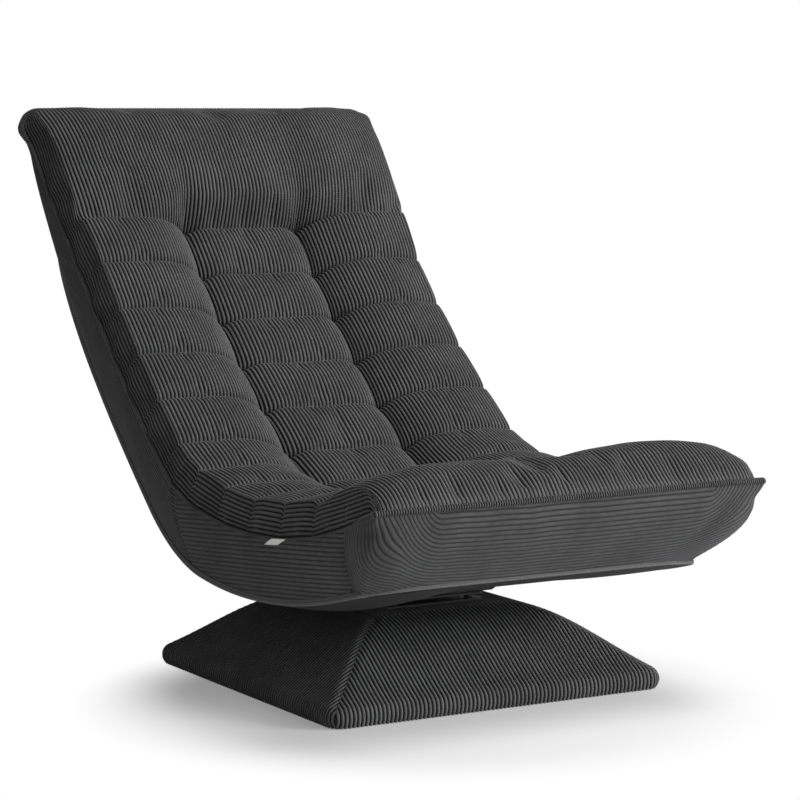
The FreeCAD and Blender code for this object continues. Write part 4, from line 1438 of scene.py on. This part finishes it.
    def zones(self, reach: Array) -> dict[BandZone, Array]:
        """Sort columns of the band by their distance along the piping from the front's middle.

        Args:
            reach: Distance of each column.

        Returns:
            Which columns belong to each zone: the front face, which wraps a little round both corners, the
            seat's sides up to their upright seam, and the rest.
        """
        front = reach < self.half_width + self.wrap_end
        seat = ~front & (reach < self.half_width + self.side_seam_s)
        return {BandZone.FRONT: front, BandZone.SEAT_SIDE: seat, BandZone.BACK: ~front & ~seat}

    def band_rings(self, top_ring: Array, welt_ring: Array, ring_s: Array,
                   ring_u: Array) -> tuple[Array, Array]:
        """Place the band's rings and press its wales in.

        Args:
            top_ring: Points along the piping.
            welt_ring: Points along the welt.
            ring_s: Length along the seam of each point of the ring.
            ring_u: Column of each point of the ring.

        Returns:
            Rings of points, and the length of each column along the piping from the front's middle.
        """
        share = ring_s / self.seam.length
        front = smooth_step(-share, -self.bulge_end, 0.0)
        head = smooth_step(share, 1.0 - self.bulge_end, 1.0)
        side = np.sign(ring_u) * smooth_step(np.abs(ring_u), self.bulge_side, 1.0)
        bulge = self.side_bulge + (self.front_bulge - self.side_bulge) * front
        bulge = bulge + (self.head_bulge - self.side_bulge) * head
        bulge = bulge + self.corner_bulge * front * smooth_step(np.abs(ring_u), self.bulge_corner, 1.0)
        zero = ring_s * 0.0
        base = self.seam.place(ring_s, zero, zero)
        along = unit(self.seam.place(ring_s + MM, zero, zero) - base)
        below = self.seam.place(ring_s, zero, zero - 1.0) - base
        direction = along * (head - front)[:, None] + below * (self.bulge_down * (head + front))[:, None]
        direction = direction + np.stack([side, zero, zero], axis=1)
        band = self.band_points(top_ring, welt_ring, bulge, unit(direction))
        lengths = run_along(top_ring)
        total = lengths[-1] + np.linalg.norm(top_ring[0] - top_ring[-1])
        lengths = lengths - self.half_width
        lengths = np.where(lengths > 0.5 * total, lengths - total, lengths)
        closed = np.concatenate([band[:, -1:], band, band[:, :1]], axis=1)
        normals = -grid_normals(closed)[:, 1:-1]
        phase = sum(np.where(chosen, self.phase(zone, band, lengths), 0.0)
                    for zone, chosen in self.zones(np.abs(lengths)).items())
        rows = np.linspace(0.0, 1.0, self.band_rows + 1)
        fade = smooth_step(rows, 0.0, self.band_fade) * smooth_step(1.0 - rows, 0.0, self.band_fade)
        past_front = np.abs(lengths) - self.half_width
        sewn = sum(bell(past_front - seam_s, self.band_seam_width)
                   for seam_s in (self.wrap_end, self.side_seam_s))
        pressed = self.band_wale_depth * groove(phase) + self.band_seam_depth * sewn[None, :]
        return band - normals * (fade[:, None] * pressed)[..., None], lengths

    def phase(self, zone: BandZone, band: Array, lengths: Array) -> Array:
        """Return the wale count on the band.

        On the back it is the distance down from the piping. On the seat's sides wales are straight lines,
        nearly level. On the front face they lie level, and near a corner they turn up to the piping: there
        the count is the distance to the stretch of piping that ends a little short of the corner.

        Args:
            zone: Zone of the band.
            band: Rings of points.
            lengths: Length of each column along the piping from the front's middle.

        Returns:
            Wale count of each point, as it would be in that zone.
        """
        if zone is BandZone.SEAT_SIDE:
            level = band[..., 2] - self.side_wale_slope * band[..., 1]
            return level / self.wale_pitch
        steps = np.linalg.norm(np.diff(band, axis=0), axis=2)
        down = np.concatenate([np.zeros((1, band.shape[1])), np.cumsum(steps, axis=0)])
        if zone is BandZone.BACK:
            return down / self.wale_pitch
        beyond = np.maximum(np.abs(lengths) - (self.half_width - self.wrap_start), 0.0)
        return np.hypot(down, self.wrap_crowding * beyond[None, :]) / self.front_pitch

    def band_wales(self, band: Array, lengths: Array, numbers: Array,
                   count: int) -> dict[BandZone, Array]:
        """Return the wale coordinates that each zone of the band gives every vertex.

        Args:
            band: Rings of points.
            lengths: Length of each column along the piping.
            numbers: Vertex number of each point of the rings.
            count: Number of vertices of the mesh.

        Returns:
            Coordinates of every vertex by zone.
        """
        along = np.broadcast_to(lengths[None, :] / self.wale_pitch, numbers.shape)
        wales = {zone: np.zeros((count, 2)) for zone in BandZone}
        for zone, table in wales.items():
            table[numbers] = np.stack([self.phase(zone, band, lengths), along], axis=2)
        return wales


@dataclass
class Hinge:
    """Line about which the back folds, and the stretch of fabric that bends with it."""

    y: float = 0.130282
    z: float = 0.237329
    slope: float = math.radians(25.0)
    reach: float = 0.110

    def bend(self, piece: Piece) -> Piece:
        """Bake a piece's transform into its mesh; it is not bent."""
        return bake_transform(piece)


@dataclass
class EdgeTrim:
    """Round or flat trim carried along a closed line of the cushion.

    Attributes:
        name: Name of the piece.
        width: Half the section's size along the surface.
        height: Half the section's size away from it.
        ridge_pitch: Distance between the ridges across the trim, 0 for none.
        ridge_depth: Depth of the grooves between ridges.
        spacing: Distance between sections.
        sides: Points of a section.
        passes: Smoothing passes on the line.
        stand_out: Shift of the trim outward from the line.
        hang: Shift of the trim down from the line.
        thread_pitch: Distance between threads along a trim without ridges.
        round_count: Threads counted once round the section.
    """

    name: str
    width: float
    height: float
    ridge_pitch: float
    ridge_depth: float
    spacing: float = 1.3 * MM
    sides: int = 10
    passes: int = 6
    stand_out: float = 0.0
    hang: float = 0.0
    thread_pitch: float = 1.1 * MM
    round_count: float = 4.0

    def build(self, edge: EdgeLine, material: Material, slot: Slot) -> Piece:
        """Carry an ellipse along the line, with ridges across it.

        Args:
            edge: Closed line that it follows.
            material: Finish of the trim.
            slot: Slot of the record meant for its finish; not used.

        Returns:
            The trim.
        """
        centre, extra, lengths = even_ring(edge.points, np.column_stack([edge.up, edge.size]), self.spacing)
        up, size = extra[:, :3], extra[:, 3:]
        centre = ring_smoothed(centre, self.passes)
        ahead = unit(np.roll(centre, -1, axis=0) - np.roll(centre, 1, axis=0))
        side = unit(np.cross(ahead, up))
        up = np.cross(side, ahead)
        centre = centre + side * self.stand_out - up * self.hang
        turn = np.linspace(0.0, 2.0 * math.pi, self.sides, endpoint=False)
        pressed = np.zeros((len(centre), self.sides))
        total = lengths[-1] + self.spacing
        count = round(total / (self.ridge_pitch or self.thread_pitch))
        phase = np.broadcast_to(lengths[:, None] / total * count, pressed.shape)
        if self.ridge_pitch:
            pressed = self.ridge_depth * groove(phase)
        across = (self.width - pressed) * size * np.cos(turn)[None, :]
        above = (self.height - pressed) * size * np.sin(turn)[None, :]
        tube = centre[:, None] + side[:, None] * across[..., None] + up[:, None] * above[..., None]
        numbers = grid_numbers(*tube.shape[:2])
        following = np.roll(numbers, -1, axis=0)
        beside, across_from = (np.roll(grid, -1, axis=1) for grid in (numbers, following))
        quads = np.stack([numbers, beside, across_from, following], axis=2)
        round_it = np.broadcast_to(turn / (2.0 * math.pi) * self.round_count, phase.shape)
        # With ridges, the wale map counts them, so a corduroy finish paints shade in the grooves between
        # them.
        wales = np.stack([phase, round_it], axis=2).reshape(-1, 2)
        patch = Patch(quads.reshape(-1, 4)[:, ::-1], wales)
        piece = new_piece(self.name, tube.reshape(-1, 3), [patch], [material])
        return piece


@dataclass
class UnderPanel:
    """Plain cloth over the bottom of the seat and the rear of the back, sagging more on the left."""

    sag: float = 0.013
    sag_right: float = 0.002
    sag_turn: float = 0.05
    sag_reach: float = 0.62
    sag_across: float = 0.9
    sag_along: float = 0.7
    offset: float = 0.002
    ripple: float = 0.0035
    ripple_cells: Pair = (0.07, 0.11)
    ripple_seed: int = 21
    ripple_edge: float = 0.15
    ripple_run: float = 0.15
    strides: tuple[int, int] = (3, 2)
    slack: float = 1.03
    thread_pitch: float = 1.1 * MM

    def build(self, cushion: LoungeCushion, finishes: Finishes) -> Piece:
        """Lay the panel just outside the cushion's underside.

        It sags under the seat as a sine across and along, apart from the middle, where the swivel bars hold
        it up, and ripples a little on the back as smooth noise.

        Args:
            cushion: The cushion that it closes.
            finishes: The chair's materials.

        Returns:
            The panel.
        """
        row_stride, column_stride = self.strides
        s, x, h = (values[::row_stride, ::column_stride] for values in cushion.under_grid)
        start = s.min()
        seat_end = cushion.seam.crease_s
        half = np.abs(x).max(axis=1, keepdims=True)
        across = np.clip(1.0 - np.abs(x) / half, 0.0, 1.0)
        loose = np.sin(math.pi * np.clip(across / self.sag_reach, 0.0, 1.0)) ** self.sag_across
        run = np.clip((s - start) / (seat_end - start), 0.0, 1.0)
        to_right = smooth_step(x, -self.sag_turn, self.sag_turn)
        sag = (self.sag + (self.sag_right - self.sag) * to_right) * loose
        sag = sag * np.sin(math.pi * run) ** self.sag_along
        cell_x, cell_s = self.ripple_cells
        ripple = self.ripple * (0.5 + 0.5 * lattice_noise(x / cell_x, s / cell_s, self.ripple_seed))
        ripple = ripple * smooth_step(across, 0.0, self.ripple_edge)
        ripple = ripple * smooth_step(s, seat_end, seat_end + self.ripple_run)
        points = cushion.seam.place(s, x, h - self.offset - sag - ripple)
        wales = np.stack([x / self.thread_pitch, s / self.thread_pitch], axis=2).reshape(-1, 2)
        patch = Patch(sheet_faces(*s.shape)[:, ::-1], wales)
        panel = new_piece("under_panel", points.reshape(-1, 3), [patch], [finishes[Slot.LINING]])
        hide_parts("seat_dust_cover", "back_rear_cover")
        return panel


@dataclass
class BaseCover:
    """Corduroy cover of the base: a low pyramid with an upright lip, a rounded edge and four hip seams."""

    half: float = 0.2445
    hem: float = 0.4 * MM
    lip_round: float = 0.0169
    lip_in: float = 0.0138
    lip_start: float = math.radians(-46.0)
    lip_end: float = math.radians(57.0)
    top_half: float = 0.106
    height: float = 0.106
    slope_crown: float = 0.120
    lip_corner: float = 0.020
    top_corner: float = 0.012
    wale_pitch: float = 5.83 * MM
    wale_samples: Sizes = (0.0, 0.17, 0.39, 0.61, 0.83)
    wale_depth: float = 2.2 * MM
    wale_fade: float = 0.003
    hip_width: float = 0.004
    hip_depth: float = 1.2 * MM
    crown_power: float = 1.5
    lip_steps: int = 24
    slope_steps: int = 40
    rows: int = 36
    top_slack: float = 0.5 * MM

    def profile(self) -> tuple[Array, Array, Array]:
        """Return half side, height and corner radius along the slope.

        The lip is an arc of an ellipse, tucked in at the hem. The slope is a straight line with a crown, the
        sine of the share of its run to the power of one and a half.

        Returns:
            Three arrays from the hem to the top.
        """
        turn = np.linspace(self.lip_start, self.lip_end, self.lip_steps)
        lip_half = self.half - self.lip_in * (1.0 - np.cos(turn))
        lip_z = self.hem + self.lip_round * (np.sin(turn) - math.sin(self.lip_start))
        share = np.linspace(0.0, 1.0, self.slope_steps)[1:]
        slope_half = lip_half[-1] + (self.top_half - lip_half[-1]) * share
        rise = share + self.slope_crown * np.sin(math.pi * share ** self.crown_power)
        slope_z = lip_z[-1] + (self.height - lip_z[-1]) * rise
        half = np.concatenate([lip_half, slope_half])
        z = np.concatenate([lip_z, slope_z])
        corner = np.interp(half, (self.top_half, self.half), (self.top_corner, self.lip_corner))
        return half, z, corner

    def face_points(self) -> tuple[Array, Array, Array]:
        """Place the front face: columns at a fixed distance from its middle line, from the hem to the hip.

        The distance is taken along the level outline, whose corner is an arc of 45 degrees to the hip.

        Returns:
            Grid of points, wale count and length along the wale of each.
        """
        half, z, corner = self.profile()
        reach = half - corner + corner * 0.25 * math.pi
        widest = int(np.argmax(reach))
        run = np.concatenate([[0.0], np.cumsum(np.hypot(np.diff(half), np.diff(z)))])
        wales = int(reach[widest] / self.wale_pitch) + 1
        side = np.add.outer(np.arange(wales), np.array(self.wale_samples)).ravel() * self.wale_pitch
        side = np.append(side[side < reach[widest] - MM], reach[widest])
        columns = np.concatenate([-side[:0:-1], side])
        end_run = np.interp(-np.abs(columns), -reach[widest:], run[widest:])
        start_run = np.interp(np.abs(columns), reach[:widest + 1], run[:widest + 1])
        part = np.linspace(0.0, 1.0, self.rows)
        grid_run = start_run[None, :] + part[:, None] * (end_run - start_run)[None, :]
        grid_half = np.interp(grid_run, run, half)
        grid_z = np.interp(grid_run, run, z)
        grid_corner = np.interp(grid_run, run, corner)
        flat = grid_half - grid_corner
        distance = np.abs(columns)[None, :]
        turn = np.clip((distance - flat) / grid_corner, 0.0, 0.25 * math.pi)
        x = np.sign(columns)[None, :] * np.where(distance < flat, distance, flat + grid_corner * np.sin(turn))
        y = -(flat + grid_corner * np.cos(turn))
        points = np.stack([x, y, grid_z], axis=2)
        count = np.broadcast_to(columns[None, :] / self.wale_pitch, x.shape)
        to_hip = end_run[None, :] - grid_run
        hip = np.where(distance > self.top_half, bell(to_hip, self.hip_width), 0.0)
        fade = smooth_step(to_hip, 0.0, self.wale_fade)
        fade = fade * smooth_step(reach[widest] - distance, 0.0, self.wale_fade)
        pressed = self.wale_depth * fade * groove(count) + self.hip_depth * hip
        return points - grid_normals(points) * pressed[..., None], count, grid_run / self.wale_pitch

    def build(self, finishes: Finishes) -> Piece:
        """Turn the front face to all four sides and close the top and the bottom.

        Args:
            finishes: The chair's materials.

        Returns:
            The cover.
        """
        face, count, along = self.face_points()
        rows, columns = face.shape[:2]
        sides = []
        for quarter in range(4):
            angle = 0.5 * math.pi * quarter
            cosine, sine = math.cos(angle), math.sin(angle)
            sides.append(face @ np.array([[cosine, sine, 0.0], [-sine, cosine, 0.0], [0.0, 0.0, 1.0]]))
        points = np.concatenate([side.reshape(-1, 3) for side in sides])
        wales = np.tile(np.stack([count, along], axis=2).reshape(-1, 2), (4, 1))
        faces = [sheet_faces(rows, columns, quarter * rows * columns) for quarter in range(4)]
        patches = [Patch(np.concatenate(faces), wales)]
        first = np.arange(4)[:, None] * rows * columns
        bottom = (first + np.arange(columns)[None, :]).ravel()
        patches.append(Patch(bottom[None, ::-1], wales))
        level = np.flatnonzero(face[-1, :, 2] > self.height - self.top_slack)
        upper = (first + (rows - 1) * columns + level[None, :]).ravel()
        patches.append(Patch(upper[None, :], wales))
        cover = new_piece("base_cover_cloth", points, patches, [finishes.base])
        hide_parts("base_cover")
        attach(cover, "base")
        return cover


@dataclass
class SeamTag:
    """Blank folded tag sewn into the left side seam."""

    s: float = 0.231
    length: float = 0.034
    stand_out: float = 0.012
    drop: float = 0.006
    thickness: float = 0.0007
    gap: float = 2.0 * MM
    rise: float = 0.5 * MM
    curl: float = 1.4
    shape: tuple[int, int] = (8, 16)

    def build(self, cushion: LoungeCushion, finishes: Finishes) -> Piece:
        """Hang a folded strip: a closed loop carried along the seam, curling a little at its free edge.

        Args:
            cushion: The cushion that holds it.
            finishes: The chair's materials.

        Returns:
            The tag.
        """
        rows, columns = self.shape
        turn = np.linspace(0.0, 2.0 * math.pi, columns, endpoint=False)
        share = np.linspace(0.0, 1.0, rows)
        reach = 0.5 - 0.5 * np.cos(turn)
        out = self.gap + self.stand_out * reach
        down = self.thickness * np.sin(turn) - self.drop * reach ** self.curl
        s = np.broadcast_to(self.s + self.length * (share[:, None] - 0.5), self.shape)
        x = -(cushion.half_width + np.broadcast_to(out, self.shape))
        h = np.broadcast_to(down + self.rise, self.shape)
        points = cushion.seam.place(s, x, h)
        numbers = grid_numbers(rows, columns)
        ahead = np.roll(numbers, -1, axis=1)
        faces = np.stack([numbers[:-1], ahead[:-1], ahead[1:], numbers[1:]], axis=2).reshape(-1, 4)
        wales = np.stack([s / MM, h / MM], axis=2).reshape(-1, 2)
        ends = [numbers[0][None, ::-1], numbers[-1][None, :]]
        patches = [Patch(faces, wales)] + [Patch(end, wales) for end in ends]
        tag = new_piece("blank_seam_tag", points.reshape(-1, 3), patches, [finishes.tag])
        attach(tag, "seat")
        return tag


class Hardware:
    """The inner parts that keep their own shapes and take a finish each."""

    # Painted shade: these zinc steel parts take the black finish so that they stay dark under the seat.
    painted_shade_parts: tuple[str, ...] = ("lower_swivel_plate", "upper_swivel_plate", "base_plate_bolts",
                                "base_plate_nuts", "seat_plate_bolts", "seat_plate_nuts")

    def dress(self, finishes: Finishes) -> int:
        """Give each carried-over node the finish of its slot; the swivel plates and their bolts and nuts get
        black instead, as painted shade.

        Args:
            finishes: The chair's materials.

        Returns:
            Number of nodes dressed.
        """
        for name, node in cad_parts.items():
            slots = [slot.material.name.split(".")[0] for slot in node.material_slots]
            for number, slot_name in enumerate(slots):
                slot = Slot.BLACK_STEEL if name in self.painted_shade_parts else Slot(slot_name)
                node.material_slots[number].material = finishes[slot]
            log.debug("%s: %s", name, slots)
        return len(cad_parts)


@dataclass
class Studio:
    """Pale floor, soft lights and the camera at the photograph's place."""

    camera_place: tuple[float, float, float] = (-1.797, -3.042, 0.735)
    camera_yaw: float = math.radians(30.46)
    camera_pitch: float = math.radians(-5.99)
    focal_pixels: float = 2725.0
    image_pixels: float = 800.0
    sensor: float = 36.0
    shadow_middle: Colour = (-0.05, -0.14, 0.0)
    shadow_reach: Pair = (0.30, 0.46)
    shadow_white: float = 0.25
    floor_half: float = 8.0
    floor_tone: float = 0.86
    room_light: float = 0.115

    def build(self) -> None:
        """Make the floor, the world, the lamps and the camera."""
        bpy.context.scene.view_settings.view_transform = "Standard"
        self.floor()
        self.world()
        self.lamp("key_light", place=(2.9, -2.7, 1.35), target=(0.0, 0.0, 0.30), size=1.4, power=116.0)
        self.lamp("top_light", place=(0.6, -1.1, 3.1), target=(0.0, 0.0, 0.2), size=1.5, power=56.0)
        self.lamp("fill_light", place=(1.1, -3.4, 1.6), target=(0.0, 0.0, 0.1), size=1.6, power=34.0)
        self.camera()

    def lamp(self, name: str, place: Colour, target: Colour, size: float, power: float) -> None:
        """Hang a square soft lamp at a place, facing a target.

        Args:
            name: Name of the lamp.
            place: Where it hangs.
            target: What it faces.
            size: Side of its square.
            power: Power in watts.
        """
        light = bpy.data.lights.new(name, "AREA")
        light.shape = "SQUARE"
        light.size = size
        light.energy = power
        lamp = bpy.data.objects.new(name, light)
        lamp.location = place
        away = np.array(place) - np.array(target)
        flat = math.hypot(away[0], away[1])
        lamp.rotation_euler = (math.atan2(flat, away[2]), 0.0, math.atan2(away[0], -away[1]))
        bpy.context.scene.collection.objects.link(lamp)

    def white_seen(self, sheet: ShaderSheet) -> Socket:
        """Return 1 for rays that see a surface straight, mirrored or through glass."""
        path = sheet.add("LightPath")
        seen = sheet.math("MAXIMUM", path.outputs["Is Camera Ray"], path.outputs["Is Glossy Ray"])
        return sheet.math("MAXIMUM", seen, path.outputs["Is Transmission Ray"])

    def world(self) -> None:
        """Light the room evenly and show it white."""
        world = bpy.data.worlds.new("studio")
        world.use_nodes = True
        bpy.context.scene.world = world
        sheet = ShaderSheet(world.node_tree)
        seen = {"Value": self.white_seen(sheet), "To Min": self.room_light, "To Max": 1.0}
        strength = sheet.add("MapRange", seen).outputs["Result"]
        back = sheet.add("Background", {"Color": solid(grey(1.0)), "Strength": strength})
        sheet.add("OutputWorld", {"Surface": back.outputs["Background"]})

    def floor(self) -> None:
        """Lay a pale floor that keeps the shadow near the chair and turns plain white away from it."""
        corners = np.array([[-1, -1, 0], [1, -1, 0], [1, 1, 0], [-1, 1, 0]]) * self.floor_half
        sheet = blank_material("pale_floor")
        away = sheet.add("VectorMath", {0: sheet.place(), 1: self.shadow_middle}, operation="DISTANCE")
        far = sheet.ramp(away.outputs["Value"], *self.shadow_reach, self.shadow_white, 1.0)
        far = sheet.math("MULTIPLY", far, self.white_seen(sheet))
        diffuse = sheet.add("BsdfDiffuse", {"Color": solid(grey(self.floor_tone))})
        white = sheet.add("Emission", {"Color": solid(grey(1.0)), "Strength": 1.0})
        shown = sheet.add("MixShader", {0: far, 1: diffuse.outputs["BSDF"], 2: white.outputs["Emission"]})
        sheet.add("OutputMaterial", {"Surface": shown.outputs["Shader"]})
        patch = Patch(np.array([[0, 1, 2, 3]]), np.zeros((4, 2)))
        new_piece("floor", corners, [patch], [bpy.data.materials["pale_floor"]])

    def camera(self) -> None:
        """Set the camera at the photograph's place."""
        lens = bpy.data.cameras.new("photo_camera")
        lens.sensor_width = self.sensor
        lens.lens = self.focal_pixels / self.image_pixels * self.sensor
        camera = bpy.data.objects.new("photo_camera", lens)
        camera.location = self.camera_place
        camera.rotation_euler = (0.5 * math.pi + self.camera_pitch, 0.0, -self.camera_yaw)
        bpy.context.scene.collection.objects.link(camera)
        bpy.context.scene.camera = camera


def main() -> None:
    """Build and dress the chair in order."""
    logging.basicConfig(level=logging.INFO, format="%(message)s")
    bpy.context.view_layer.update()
    finishes = Finishes()
    hinge = Hinge()
    log.info("hardware: %d nodes dressed", Hardware().dress(finishes))
    cushion = LoungeCushion()
    padding = cushion.build(finishes)
    piping = EdgeTrim("edge_piping", 4.4 * MM, 4.4 * MM, 3.4 * MM, 2.2 * MM, 0.7 * MM, 8)
    pipe = piping.build(cushion.piping, finishes[Slot.CORDUROY], Slot.CORDUROY)
    tape = EdgeTrim("welt_tape", 2.4 * MM, 4.6 * MM, 0.0, 0.0, 3.0 * MM, stand_out=2.0 * MM, hang=-2.0 * MM)
    welt = tape.build(cushion.welt, finishes.tape, Slot.LINING)
    panel = UnderPanel().build(cushion, finishes)
    for bent in (padding, pipe, welt, panel):
        hinge.bend(bent)
    cover = BaseCover().build(finishes)
    tag = SeamTag().build(cushion, finishes)
    for piece in (padding, pipe, welt, panel, cover, tag):
        log.info("%s: %d faces", piece.name, len(piece.data.polygons))
    Studio().build()


if __name__ == "__main__":
    main()
